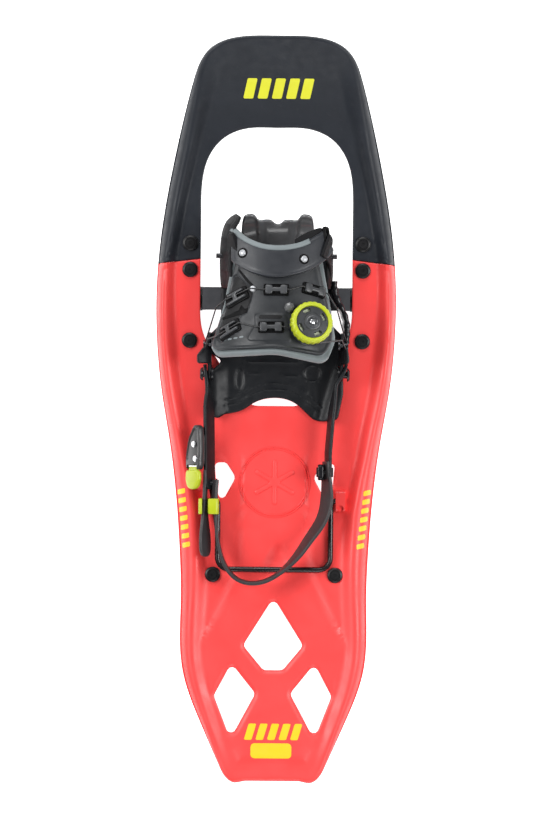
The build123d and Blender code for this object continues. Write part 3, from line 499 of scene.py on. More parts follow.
CARRIER_GREY = finish_of("carrier_grey", (0.058, 0.060, 0.067), 0.42, metal=0.2, grain=0.4, grain_mm=0.35,
                         scuffs=0.06)
BASE_BLACK = finish_of("base_black", (0.006, 0.007, 0.009), 0.44, grain=0.1, shade=0.06, specular=0.28)
WALL_BLACK = finish_of("wall_black", (0.006, 0.006, 0.007), 0.58, grain=0.1, specular=0.16)
CUP_GREY = finish_of("cup_grey", (0.100, 0.102, 0.106), 0.18, grain=0.06, coat=0.3)
STRAP_BLACK = finish_of("strap_black", (0.021, 0.023, 0.028), 0.38, grain=0.2, grain_mm=0.45, specular=0.40)
BAND_BLACK = finish_of("band_black", (0.030, 0.027, 0.029), 0.45, grain=0.2, grain_mm=0.45, specular=0.4)
BLACK_GLOSS = finish_of("black_gloss", (0.007, 0.007, 0.009), 0.28, grain=0.1, specular=0.35)
FOAM_GREY = finish_of("foam_grey", (0.150, 0.175, 0.182), 0.75, weave_mm=0.9, sheen=0.25, shade=0.1)
TRIM_GREY = finish_of("trim_grey", (0.155, 0.180, 0.188), 0.55, grain=0.25, shade=0.08)
SHELL_GREY = finish_of("shell_grey", (0.017, 0.019, 0.022), 0.42, grain=0.3, grain_mm=0.4, scuffs=0.03,
                       specular=0.36)
# near-black for small dark parts; on the shell's grooves it serves as painted shade
RECESS_BLACK = finish_of("recess_black", (0.003, 0.003, 0.0035), 0.55, grain=0.15, specular=0.12)
# own black of the side inlay, and painted shade on the rear panel's slot
PANEL_AND_SLOT_SHADE_BLACK = finish_of("panel_black_and_slot_shade", (0.010, 0.010, 0.011), 0.50, grain=0.2, specular=0.2)
STUD_SILVER = finish_of("stud_silver", (0.42, 0.43, 0.45), 0.38, metal=0.35, grain=0.1)
GUIDE_GREY = finish_of("guide_grey", (0.040, 0.042, 0.046), 0.32, grain=0.15)
LACE_STEEL = finish_of("lace_steel", (0.012, 0.012, 0.013), 0.40, grain=0.3, grain_mm=0.3)
DIAL_BLACK = finish_of("dial_black", (0.022, 0.024, 0.027), 0.38, grain=0.2)
DIAL_PLATE = finish_of("dial_plate", (0.55, 0.60, 0.42), 0.45, grain=0.15)
YELLOW = finish_of("dial_yellow", (0.39, 0.45, 0.008), 0.38, grain=0.15, shade=0.05)
DECAL_YELLOW = finish_of("decal_yellow", (0.88, 0.52, 0.008), 0.45, grain=0.1, shade=0.04)
DECAL_LIME = finish_of("decal_lime", (0.60, 0.60, 0.015), 0.45, grain=0.1, shade=0.04)
BAIL_BLACK = finish_of("bail_black", (0.012, 0.009, 0.010), 0.26, metal=0.1, grain=0.2, grain_mm=0.5)
BUCKLE_GREY = finish_of("buckle_grey", (0.030, 0.029, 0.030), 0.34, grain=0.2)

CAD_FINISHES = {  # of the CAD nodes that stay visible
    RAIL_STEEL: ["traction_rail_left", "traction_rail_right", "toe_crampon"],
    FASTENER: ["rivet_washers", "pivot_pin_left", "pivot_pin_right", "pivot_clip_left", "pivot_clip_right",
               "base_bolts", "base_nuts", "dial_post", "buckle_lever_pin"],
    DARK_STEEL: ["cage_rivets", "lace_hook_left", "lace_hook_right"],
    BUSH_BLACK: ["pivot_bush_left", "pivot_bush_right"],
    BASE_BLACK: ["strap_rivets"],
    BAIL_BLACK: ["heel_lift_bail"],
    CARRIER_GREY: ["axle_carrier"],
    LACE_STEEL: ["lace"],
    DIAL_BLACK: ["dial_spool"],
    CORAL: ["heel_lift_clip_left", "heel_lift_clip_right", "heel_lift_screws"],
}
for finish, node_names in CAD_FINISHES.items():
    for node_name in node_names:
        node = frame["nodes"][node_name]
        node.data.materials.clear()
        node.data.materials.append(finish)


# ---------------------------------------------------------------- camera, light and floor
PICTURE_LENGTH = 0.684  # metres from the top to the bottom of the picture, at the deck's height
CAMERA_HEIGHT, DECK_HEIGHT, CAMERA_X = 5.5, 0.03, -0.0006  # metres
CAMERA_ROLL = 0.53  # degrees
SENSOR = 36.0
WORLD_GLOW, PAPER_GLOW = 0.16, 1.0
LAMPS = (  # name, place, size and power
    ("left", (-1.7, 0.5, 1.75), 1.2, 48),
    ("right", (1.7, 0.1, 1.75), 1.1, 42),
    ("tail", (0.2, -2.1, 1.5), 1.1, 18),
    ("toe", (-0.2, 2.1, 1.5), 1.1, 29),
)


def make_stage():
    """The camera over the shoe, a white floor and four soft lamps."""
    camera_data = bpy.data.cameras.new("camera")
    camera = linked("camera", camera_data)
    camera.location = (CAMERA_X, 0.0, CAMERA_HEIGHT)
    camera.rotation_euler = (0, 0, radians(CAMERA_ROLL))
    camera_data.sensor_width = SENSOR
    camera_data.lens = SENSOR * (CAMERA_HEIGHT - DECK_HEIGHT) / PICTURE_LENGTH
    camera_data.clip_end = 50
    bpy.context.scene.camera = camera
    bpy.context.scene.view_settings.view_transform = "Standard"

    world = bpy.data.worlds.new("studio")
    world.use_nodes = True
    background = world.node_tree.nodes["Background"]
    background.inputs["Color"].default_value = (1, 1, 1, 1)
    background.inputs["Strength"].default_value = WORLD_GLOW
    bpy.context.scene.world = world

    mesh, reach = bpy.data.meshes.new("floor"), 4.0
    mesh.from_pydata([(-reach, -reach, 0), (reach, -reach, 0), (reach, reach, 0), (-reach, reach, 0)], [],
                     [(0, 1, 2, 3)])
    floor = linked("floor", mesh)
    floor.location.z = -0.0005
    paper = bpy.data.materials.new("paper")
    paper.use_nodes = True
    shader = paper.node_tree.nodes["Principled BSDF"]
    shader.inputs["Base Color"].default_value = (0.93, 0.93, 0.93, 1)
    shader.inputs["Roughness"].default_value = 0.9
    shader.inputs["Emission Color"].default_value = (1, 1, 1, 1)
    shader.inputs["Emission Strength"].default_value = PAPER_GLOW
    mesh.materials.append(paper)

    for name, place, size, power in LAMPS:
        lamp_data = bpy.data.lights.new(name, "AREA")
        lamp_data.size, lamp_data.energy = size, power
        lamp = linked(name, lamp_data)
        lamp.location = place
        lamp.rotation_euler = (-Vector(place)).to_track_quat("-Z", "Y").to_euler()


make_stage()

# ---------------------------------------------------------------- deck
HALF_LENGTH = cad_high.y / MM
DECK_BOTTOM = cad("traction_rail_left")[1][2]  # the rails' flanges lie against the plate's underside
PLATE = 4.0  # the thickness of the deck's plate
DECK_TOP = DECK_BOTTOM + PLATE
WALL, HOLLOW, WINDOW_ROUND = 3.0, 26.0, 1.2  # side wall, width of the hollow ridge, rounding of the windows
TOE_BEND_Y, TOE_RADIUS = 145.0, 297.0
TAIL_BEND_Y, TAIL_RADIUS = -190.0, 606.0
SEAM_INNER, SEAM_OUTER = 126.0, 119.0  # Y of the seam at the window and at the outer edge
SEAM_X, SEAM_RUN = 63.0, 57.0  # where it starts, and how far it runs across
SEAM_GAP = 0.03
OUTLINE = [
    (30, 309.2), (46, 305.5), (57, 299), (64.5, 289), (70, 274), (78.3, 242), (89, 192),
    (96.8, 142), (100, 92), (99, 56), (95.5, 20), (88, -25), (82, -72), (78.6, -118),
    (77.4, -160), (77.7, -196), (75, -219), (67.5, -243), (57, -267.5), (46, -292),
]
FOOT = [(40, -304), (32, -309.9), (22, -308.5)]  # a corner of the tail
EDGE_STEP = 2.4  # between the points of the deck's outlines


def silhouette():
    """The outline of the whole deck, from above."""
    side = spline([(0, HALF_LENGTH)] + OUTLINE, EDGE_STEP, (1, 0), (-0.42, -0.9))
    foot = spline([OUTLINE[-1]] + FOOT, EDGE_STEP / 2, (-0.42, -0.9), (-1, 0.1))
    recess = even([FOOT[-1], (0, FOOT[-1][1])], EDGE_STEP)
    return mirrored(np.concatenate([side, foot, recess]))


def toe_window():
    """The opening that the binding tips through."""
    front = spline([(0, 235), (24, 234.5), (45, 226), (58, 208.5), (62.6, 188), (63.2, 165)],
                   EDGE_STEP, (1, 0), (0, -1))
    side = even([(63.2, 165), (63.2, 84)], EDGE_STEP)
    rear = spline([(63.2, 84), (60.5, 64), (46, 38), (33, 17), (23, 6.5), (14, 3.8)],
                  EDGE_STEP, (0, -1), (-1, 0))
    back = even([(14, 3.8), (0, 3.8)], EDGE_STEP)
    return mirrored(np.concatenate([front, side, rear, back]))


SILHOUETTE, WINDOW = silhouette(), toe_window()


def across_seam(loop, ahead):
    """The part of a loop ahead of, or behind, the seam, as open runs in order."""
    slope = (SEAM_OUTER - SEAM_INNER) / SEAM_RUN

    def side(p):
        seam_y = SEAM_INNER + slope * max(0, abs(p[0]) - SEAM_X)
        return (p[1] - seam_y - (SEAM_GAP if ahead else -SEAM_GAP)) * (1 if ahead else -1)

    values = np.array([side(p) for p in loop])
    runs = []
    for start in [i for i in range(len(loop)) if values[i - 1] < 0 <= values[i]]:
        points, level = np.roll(loop, -start, axis=0), np.roll(values, -start)
        stop, ends = int(np.argmax(level < 0)), []
        for i in (0, stop):
            t = level[i - 1] / (level[i - 1] - level[i])
            ends.append(points[i - 1] * (1 - t) + points[i] * t)
        runs.append(np.vstack([ends[0], points[:stop], ends[1]]))
    return runs


def half_deck(ahead):
    """The toe frame's, or the deck's, own closed outline: a U whose arms end at the seam."""
    (outer,), (inner,) = across_seam(SILHOUETTE, ahead), across_seam(WINDOW, ahead)
    inner = inner[::-1]
    seams = [even([a[-1], b[0]], EDGE_STEP) for a, b in ((outer, inner), (inner, outer))]
    return joined(outer, seams[0], inner, seams[1])


def tail_windows():
    """Three windows in the tail and two beside the heel."""
    middle = rounded([(0, -156), (25, -196), (8, -216.5), (-8, -216.5), (-25, -196)], 4, EDGE_STEP)
    kite = rounded([(34.7, -211), (14.5, -236), (35, -274), (49, -238)], 4, EDGE_STEP)
    heel = rounded([(50, -44), (40.5, -43.5), (32.5, -56), (45, -79), (48.5, -62)],
                   (3, 4, 5.5, 4, 6), EDGE_STEP)
    return [middle, kite, kite * (-1, 1), heel, heel * (-1, 1)]


# along Y: the ridge crest's distance from the silhouette, its height over the plate, the width of its
# inner slope, and the height of the lower edge of the outer wall
RIDGE = np.array([
    # Y, crest, rise, fall, low
    (-310, 3, 0.0, 6, -3.2), (-290, 4, 0.8, 7, -3.2), (-262, 6, 3.0, 9, -8.5), (-220, 9, 4.4, 12, -9.5),
    (-170, 10, 5.4, 13, -9.5), (-130, 12, 6.4, 12, -9.5), (-85, 13, 7.0, 10, -9.5), (-40, 9, 7.2, 10, -9.5),
    (0, 7, 7.2, 12, -9.5), (60, 6, 7.2, 12, -9.5), (120, 6.5, 7.0, 9, -9.5), (150, 9, 7.0, 8, -9.5),
    (215, 10, 6.6, 9, -9.0), (250, 8, 4.6, 12, -7.5), (275, 6, 1.6, 14, -6.0), (292, 4, 0.0, 14, -5.0),
    (310, 3, 0.0, 14, -4.5),
])
PANEL_EDGE = [(26, -20), (27, -92), (30, -128), (38, -150), (60, -196), (58, -240), (40, -300)]
CREASES = ([(50, -18), (37, -48)], [(42.8, -163), (57.5, -191)], [(35, -150), (60, -196)])


def ridge(xy):
    """The distance from the outline, the ridge's height over the plate, and its height a wall further out."""
    crest, rise, fall, low = (np.interp(xy[:, 1], RIDGE[:, 0], RIDGE[:, k]) for k in range(1, 5))
    s = distance(SILHOUETTE, xy)

    def height(s):
        t = np.clip(s / crest, 0, 1)
        shoulder = (1 - (1 - t) ** 2.1) ** 0.62
        outer = low + (rise - low) * shoulder
        return np.where(s < crest, outer, rise * (1 - smooth((s - crest) / fall)))

    return s, height(s), height(np.maximum(s - WALL, 0))


def panel(xy):
    """Soft relief of the deck's plate: a raised middle panel, a scoop for a finger and two creases."""
    line = np.array(PANEL_EDGE, float)
    x, y = np.abs(xy[:, 0]), xy[:, 1]
    edge_x = np.interp(-y, -line[:, 1], line[:, 0])
    inner = smooth((edge_x - x) / 2.6 + 0.5) * smooth((-20 - y) / 30)
    reach = np.clip((-112.0 - y) / 18, 0, 1)
    scoop = smooth((2.5 + 7 * reach - np.abs(xy[:, 0] - 3.5)) / 5 + 0.5)
    scoop *= smooth((-106 - y) / 12)
    scoop *= smooth((y + 133) / 6)
    folded = np.column_stack([x, y])
    crease, *lines = (distance(line, folded, closed=False) for line in CREASES)
    lines = np.minimum(*lines)
    return 1.4 * inner - 2.6 * scoop - 0.7 * bump(crease, 0, 1.6) + 0.5 * bump(lines, 0, 1.5)


def deck_place(xy, height):
    """Heights over the plate's underside, carried on to the deck's side profile."""
    def arc(past, radius):
        return radius - np.sqrt(np.maximum((radius - height) ** 2 - np.maximum(past, 0) ** 2, 0))

    y = xy[:, 1]
    z = np.where(y < TAIL_BEND_Y, arc(TAIL_BEND_Y - y, TAIL_RADIUS), height)
    z = np.where(y > TOE_BEND_Y, arc(y - TOE_BEND_Y, TOE_RADIUS), z)
    return flat(xy, DECK_BOTTOM + z)


def deck_top(xy, edge):
    """The upper surface: the ridge, the panel and rounded edges at the windows."""
    s, height, _ = ridge(xy)
    near = np.where(s < edge + 0.2, 0, soften(edge, WINDOW_ROUND))
    return height + PLATE - near + panel(xy) * smooth((s - 14) / 8) * smooth(edge / 4)


def deck_under(xy, edge):
    """The underside follows the hollow ridge near the outline and is flat elsewhere."""
    s, height, behind = ridge(xy)
    shell = np.minimum(height + PLATE - WALL, behind + PLATE - WALL / 2)
    return np.where((s < HOLLOW) & (height > 0.05), shell, 0)


# how far inside the outline the ridge has its rows of points
RING_STEPS = (0.4, 1.0, 1.8, 2.8, 4, 5.2, 6.5, 8, 9.5, 11, 12.5, 14, 15.5, 17.5, 19.5, 22, 25)


def make_deck():
    """The black front and the coral rear."""
    for name, ahead, holes, material, slot in (
        ("toe_frame", True, [], FRAME_BLACK, "frame_black"),
        ("tail_deck", False, tail_windows(), CORAL, "deck_coral"),
    ):
        part = sheet(half_deck(ahead), holes, deck_top, deck_under, deck_place, 4.0, RING_STEPS)
        piece(name + "_shell", [part], material, "deck", slot, [name])


make_deck()

# ---------------------------------------------------------------- rivets and emblem on the deck
RIVETS = [(72, 139), (72, 117), (72, 58), (51, -137)]  # on the right; the left has the same


def make_rivets():
    """Domed caps with a ring groove, on shanks that reach the washers under the rails."""
    low, top = (corner[2] for corner in cad("deck_rivets"))
    profile = [(2.5, low), (2.5, DECK_TOP), (6.5, DECK_TOP + 0.05), (6.5, DECK_TOP + 0.9), (6.2, top - 0.7),
               (5.4, top - 0.2), (4.5, top), (4.2, top - 0.35), (3.7, top - 0.35), (3.4, top - 0.02),
               (1.3, top), (1.0, top - 0.5), (0.3, top - 0.5)]
    parts = [lathe(profile, Matrix.Translation((sign * x, y, 0)), 40) for x, y in RIVETS for sign in (-1, 1)]
    piece("deck_rivet_caps", parts, RIVET_BLACK, "deck", "rivet_black", ["deck_rivets"], sharp=40)


def on_deck(lift, radius=0.0):
    """A surface that follows the deck, as if far from the deck's own edges."""
    return lambda p, e: deck_top(p, e + 9) + lift - soften(e, radius)


def decal(outline):
    """A thin printed patch that follows the deck."""
    return sheet(outline, (), on_deck(0.32), on_deck(-0.3), deck_place, 1.6, ())


def slanted_bar(x, y, width, height, slant, rounding=0.8):
    """A bar about a point, leaning to the right as it rises."""
    half = width / 2
    shift = slant * height / 2
    points = [(x - half - shift, y - height / 2), (x + half - shift, y - height / 2),
              (x + half + shift, y + height / 2), (x - half + shift, y + height / 2)]
    return rounded(points, rounding, 1.2)


def make_markings():
    """Plain bars where the moulding is printed: on the nose, down both sides and on the tail."""
    nose = [decal(slanted_bar(-23 + 11.8 * i, 267, 8.2, 16.5, 0.22)) for i in range(5)]
    piece("nose_marking", nose, DECAL_LIME, "deck", "dial_yellow")
    tail = [decal(slanted_bar(-18.5 + 9.6 * i, -267.5, 6.4, 13.5, 0.3)) for i in range(5)]
    tail.append(decal(oblong((-18, -289.5), (16, -277), 3, 1.5)))
    piece("tail_marking", tail, DECAL_YELLOW, "deck", "dial_yellow")
    for name, x, lean in (("left", -75.4, -0.10), ("right", 74.6, 0.12)):
        bars = []
        for i in range(7):
            y = -68 - 7.4 * i
            middle = x + lean * (y + 90)
            bar = rounded([(middle - 3.2, y - 2.9), (middle + 3.2, y - 1.3), (middle + 3.2, y + 2.9),
                           (middle - 3.2, y + 1.3)], 0.6, 1.2)
            bars.append(decal(bar))
        piece("side_marking_" + name, bars, DECAL_YELLOW, "deck", "dial_yellow")


EMBLEM_Y, EMBLEM_RADII, RING_WIDTH = -59.8, (29.6, 27.9), 0.9


def make_emblem():
    """Two thin raised rings and a plain six-armed star on the heel area."""
    parts = []
    for radius in EMBLEM_RADII:
        outer, inner = [circle(r, 1.2, (0, EMBLEM_Y)) for r in (radius, radius - RING_WIDTH)]
        parts.append(sheet(outer, [inner], on_deck(0.8, 0.42), on_deck(-1.0), deck_place, 4.0, (0.2,)))
    arms = []
    for k in range(6):
        for turn, reach in ((60 * k - 5.2, 18.5), (60 * k + 5.2, 18.5), (60 * k + 30, 3.4)):
            angle = radians(turn)
            arms.append((reach * sin(angle), EMBLEM_Y + reach * cos(angle)))
    star = rounded(arms, 0.6, 1.0)
    parts.append(sheet(star, (), on_deck(1.0, 0.6), on_deck(-1.0), deck_place, 3.0, (0.2, 0.6)))
    piece("heel_emblem", parts, CORAL, "deck", "deck_coral")


make_rivets()
make_markings()
make_emblem()


# ---------------------------------------------------------------- places that sheets are carried to
def along_profile(profile, axis):
    """Carries (across, along) points on to a bent profile. The profile is a line of (a, z) points that
    "along" runs down, axis says whether a is X or Y, and heights stand to the line's left."""
    line = even(profile, 0.5)
    lengths, ahead = lengths_of(line), heading_of(line)
    left = np.column_stack([-ahead[:, 1], ahead[:, 0]])

    def place(xy, height):
        at = xy[:, 1] if axis == "Y" else xy[:, 0]
        a = np.interp(at, lengths, line[:, 0]) + np.interp(at, lengths, left[:, 0]) * height
        z = np.interp(at, lengths, line[:, 1]) + np.interp(at, lengths, left[:, 1]) * height
        return np.column_stack([xy[:, 0], a, z]) if axis == "Y" else np.column_stack([a, xy[:, 1], z])

    return place


PAD_Y, PAD_Z, PAD_SLOPE, PAD_R = 90.0, 92.0, radians(12), 62.0  # the crown of the pad's arch
SHELL_TOP = 2.0  # of the shell's face over the same
PAD_CROWN = np.array([0, PAD_Y, PAD_Z])
PAD_AXES = np.array([(1, 0, 0), (0, cos(PAD_SLOPE), -sin(PAD_SLOPE)), (0, sin(PAD_SLOPE), cos(PAD_SLOPE))])


def pad_place(xy, height):
    """Plan points and heights over the pad's outer radius, carried on to its arch."""
    turn = np.arcsin(np.clip(xy[:, 0] / PAD_R, -0.985, 0.985))
    along = (xy[:, 1] - PAD_Y + PAD_R * (1 - np.cos(turn)) * sin(PAD_SLOPE)) / cos(PAD_SLOPE)
    r = PAD_R + height
    local = np.column_stack([r * np.sin(turn), along, r * np.cos(turn) - PAD_R])
    return PAD_CROWN + local @ PAD_AXES


def pad_matrix(x, y, lift=0.0, turn=0.0):
    """The frame on the pad's surface above (x, y), Z off the surface."""
    here = pad_place(np.array([[x, y]]), np.array([lift]))[0]
    tip = asin(x / PAD_R)
    up = PAD_AXES[0] * sin(tip) + PAD_AXES[2] * cos(tip)
    side = PAD_AXES[0] * cos(tip) - PAD_AXES[2] * sin(tip)
    ahead = np.cross(up, side)
    return axes_at(here, side, ahead, up) @ Matrix.Rotation(radians(turn), 4, "Z")


# ---------------------------------------------------------------- footbed
BASE_LOW, BASE_TOP = 29.2, 33.2  # the footbed's underside and face


def make_footbed():
    """The footbed: a shallow trough with moulded ribs and an arched rear edge, and a wing on each side."""
    right = [(36, 148), (46, 138), (46, 72), (52, 66), (56, 62), (56.5, 14), (52, -8), (38.4, -9)]
    left = [(-47.3, -7), (-55, -5), (-56.5, 14), (-56, 62), (-52, 66), (-46, 72), (-46, 138), (-36, 148)]
    rear = spline([(32, -7.6), (26, -2.4), (20, 3.4), (11, 8.6), (0, 10.4), (-11, 8.9), (-19, 5.4),
                   (-26.6, 0.4), (-32, -1.6), (-42, -3.4)], 2.0)
    corners = [6, 6, 3, 3, 3, 8, 5, 4] + [1.5] * len(rear) + [3, 5, 8, 3, 3, 3, 6, 6]
    outline = rounded(right + [tuple(p) for p in rear] + left, corners, 2.4)
    windows = [rounded([(-55.6, 48), (-55.6, 31), (-44.5, 41)], (1.2, 1.2, 2.0)),
               rounded([(-55.6, 6), (-51, 6.4), (-54, -2)], 0.8),
               rounded([(55.6, 41), (55.6, 32), (52, 36)], 1.0)]
    arches = [rear + normal_of(rear) * -d for d in (7, 12)]
    ring, oval = circle(6.6, 1.0, (30.5, 31)), circle(5.5, 1.0, (-30, 25)) * (0.62, 1.6) + (-11.4, -15)
    stem = [[(26.3, 24), (26.8, 6), (29, -4)], [(34.7, 24), (34.7, 6), (34.5, -5)]]

    def top(p, e):
        x, y = p[:, 0], p[:, 1]
        left_wall = 4.4 * smooth((-38 - x) / 13) * smooth((41 - y) / 10)
        line_x = 34.5 + 0.30 * (y + 8)
        right_wall = 4.4 * smooth((x - line_x) / 9) * smooth((41 - y) / 10)
        ribs = sum(bump(distance(line, p, closed=False), 0, 0.8) for line in arches + stem)
        ribs += sum(bump(distance(loop, p), 0, 0.8) for loop in (ring, oval))
        bars = sum(np.exp(-(((y - at) / 0.9) ** 4)) * smooth((x - low) / 2) * smooth((high - x) / 2)
                   for at, low, high in ((30, -25, -9), (28.4, 4, 21), (40, -26, 22)))
        return BASE_TOP + left_wall + right_wall + 0.6 * ribs + 0.8 * bars - soften(e, 1.4)

    def bottom(p, e):
        x, y = np.abs(p[:, 0]), p[:, 1]
        return BASE_LOW + 3.6 * smooth((x - 42) / 13) * smooth((38 - y) / 12) + soften(e, 0.5)

    def wing_face(p, e):
        return 1.6 - soften(e, 1.2) + 0.7 * np.exp(-((p[:, 1] - 46) / 6) ** 2 - ((p[:, 0] - 14) / 6) ** 2)

    detail = np.concatenate([line + normal_of(line) * d for line in (*arches, ring, oval)
                             for d in (-1.2, -0.6, 0, 0.6, 1.2)])
    parts = [sheet(outline, windows, top, bottom, flat, 2.2, (0.4, 1.4, 3.0), detail)]
    for sign, lip in ((-1, 8.4), (1, 4.0)):
        profile = [(55 * sign, 30.5), (55 * sign, 50), (55.6 * sign, 53.5), (57.4 * sign, 56.6),
                   ((56.6 + lip * 0.55) * sign, 58.8), ((56.5 + lip) * sign, 60.0)]
        place = along_profile(spline(profile, 0.5), "X")
        reach = 28.0 + lip
        wing_outline = rounded([(0, 24.5), (18, 24.5), (21, 38.5), (reach, 38.5), (reach - 0.5, 45), (30, 52),
                                (24, 58), (19, 64), (0, 65)], [1, 5, 1.5, 3, 4, 8, 5, 4, 1], 1.5)
        parts.append(sheet(wing_outline, (), wing_face, under(-1.5, 1.2), place, 2.4))
    piece("footbed", parts, BASE_BLACK, "binding", "base_black", ["base_plate"], sharp=38)
    for side, sign, reach in (("left", -1, 62.8), ("right", 1, 61.6)):
        pivot = centre_of("arm_rivet_" + side)
        turn = Matrix.Translation((0, pivot[1], pivot[2])) @ Matrix.Rotation(radians(90 * sign), 4, "Y")
        dome = [(5.4, 51.8), (5.4, 53.3), (2.9, 53.4), (2.9, 60.1), (5.6, 60.2), (5.6, reach - 2.2),
                (4.9, reach - 0.8), (3.6, reach), (1.4, reach - 0.1), (1.1, reach - 0.7), (0.2, reach - 0.7)]
        piece("arm_pivot_" + side, [lathe(dome, turn, 36)], BLACK_GLOSS, "binding", "fastener_steel",
              ["arm_rivet_" + side], sharp=40)


BRACE_Z = 38.4
BRACE_PATH = [(48.2, 108), (48.8, 97), (53.5, 86), (57.9, 75), (58.6, 66), (58.6, 56)]


def make_brace():
    """A flexible band on edge with moulded knuckles, from the footbed to the right wing."""
    line = spline(BRACE_PATH, 1.2, (0, -1), (0, -1))
    at = np.linspace(0, 1, len(line))
    knuckles = 1 + 0.13 * np.cos(at * 2 * pi * 7) + 0.12 * np.sin(at * 2 * pi * 1.5)
    scale = np.column_stack([knuckles, 1 + 0.04 * np.cos(at * 2 * pi * 7)])
    section, tilt = box_section(4.6, 13.6, 2.1), 10 * np.sin(at * pi)
    part = sweep(at_height(line, BRACE_Z), section, scale=scale, tilt=tilt)
    piece("side_brace_band", [part], BLACK_GLOSS, "binding", "strap_black", ["side_brace"], sharp=50)


# ---------------------------------------------------------------- toe cup, cage and toe strap
def make_cup():
    """A scoop with a lobe on each side, a low middle and a dished bowl."""
    floor_z, bend_y, bend_r = BASE_TOP + 0.2, 131.0, 34.0
    profile = [(102, floor_z)] + [(bend_y + bend_r * sin(t), floor_z + bend_r * (1 - cos(t)))
                                  for t in np.linspace(0, radians(82), 30)]
    half = [(0, 53.6), (2.6, 54.6), (5.4, 57.6), (8.5, 58.2), (11.5, 58.6), (14.5, 61.5), (17.2, 66.5),
            (19.8, 71), (22.6, 72.6), (26.6, 71.6), (29, 66), (30, 56), (30.4, 44), (31, 24), (31, 6),
            (29, 1.5), (24, 0.5), (0, 0.5)]
    outline = mirrored(spline(half, 1.6, (1, 0), (-1, 0))) + (0.8, 0)
    holes = [circle(5.5, 1.4, (28 * sign, 14)) for sign in (-1, 1)]

    def dish(p):
        x, s = np.abs(p[:, 0] - 0.8), p[:, 1]
        wall = 15.5 - 0.10 * (58 - s)
        bowl = smooth((wall - x) / 5.5) * smooth((s - 24) / 14)
        facet = smooth((x - wall - 2) / 11) * smooth((s - 36) / 20)
        fold = bump(x - wall, 0.6, 1.3) * smooth((s - 34) / 10)
        return -3.6 * bowl + 0.8 * facet + 1.2 * fold

    part = sheet(outline, holes, lambda p, e: 3.0 + dish(p) - soften(e, 1.2),
                 lambda p, e: dish(p) + soften(e, 1.0), along_profile(profile, "Y"), 1.6)
    piece("toe_scoop", [part], CUP_GREY, "binding", "cup_grey", ["toe_cup"], sharp=45)


def make_cage():
    """Side walls beside the toe, leaning in over the boot and curling round its front corners."""
    for side, sign, tip, reach, top_z in (("left", -1, [(-43.4, 150), (-39.4, 159), (-33.5, 164.5)], 8.5, 44),
                                          ("right", 1, [(45.4, 137), (43.8, 142)], 4.0, 33)):
        line = spline([(44.6 * sign, 101), (45.2 * sign, 110), (45.6 * sign, 130)] + tip, 0.6, (0, 1))
        lengths, ahead = lengths_of(line), heading_of(line)
        inward = np.column_stack([ahead[:, 1], -ahead[:, 0]]) * -sign
        total = lengths[-1]

        def place(p, height):
            base, into = ([np.interp(p[:, 0], lengths, row[:, k]) for k in (0, 1)] for row in (line, inward))
            lean = reach * np.clip(p[:, 1] / top_z, 0, 2) ** 2.2 - height
            return np.column_stack([base[0] + into[0] * lean, base[1] + into[1] * lean,
                                    BASE_TOP + 0.1 + p[:, 1]])

        outline = rounded([(0, 0), (total - 16, 0), (total - 1, 22), (total, top_z - 6), (total - 5, top_z),
                           (8, top_z - 1), (0, top_z - 8)], [3, 8, 3, 3, 4, 6, 6], 1.5)
        folds = [total * k for k in (0.22, 0.45, 0.62, 0.80)]

        def face(p, e):
            ribs = sum(bump(p[:, 0], at, 1.6) for at in folds)
            return 1.2 - soften(e, 1.0) + 0.5 * bump(e, 3.4, 1.0) + 0.8 * ribs * smooth((p[:, 1] - 10) / 6)

        part = sheet(outline, (), face, under(-1.3, 1.0), place, 2.0, (0.3, 0.7, 1.2, 2.4, 3.4, 4.4))
        piece("toe_cage_wall_" + side, [part], WALL_BLACK, "binding", "base_black", ["toe_cage_" + side],
              sharp=45)


STRAP_LIFT = 3.4  # of the toe strap's underside over the pad's outer radius
STRAP_FRONT = [(-34.6, 151.5), (-30, 147.4), (-25.5, 143.2), (-20, 139.6), (-10, 135.6), (0.5, 134.4),
               (11, 135.4), (21.4, 139), (29, 143.6), (36.5, 149)]
STRAP_REAR = [(43.5, 131.5), (39.5, 126), (32, 119.4), (21.4, 113.2), (11, 109.9), (-1.5, 108.6),
              (-15, 110.9), (-25.5, 115.6), (-34.6, 121.9)]
STUDS = [(-25.4, 128.5), (20.5, 123.8)]  # X and Y over the pad


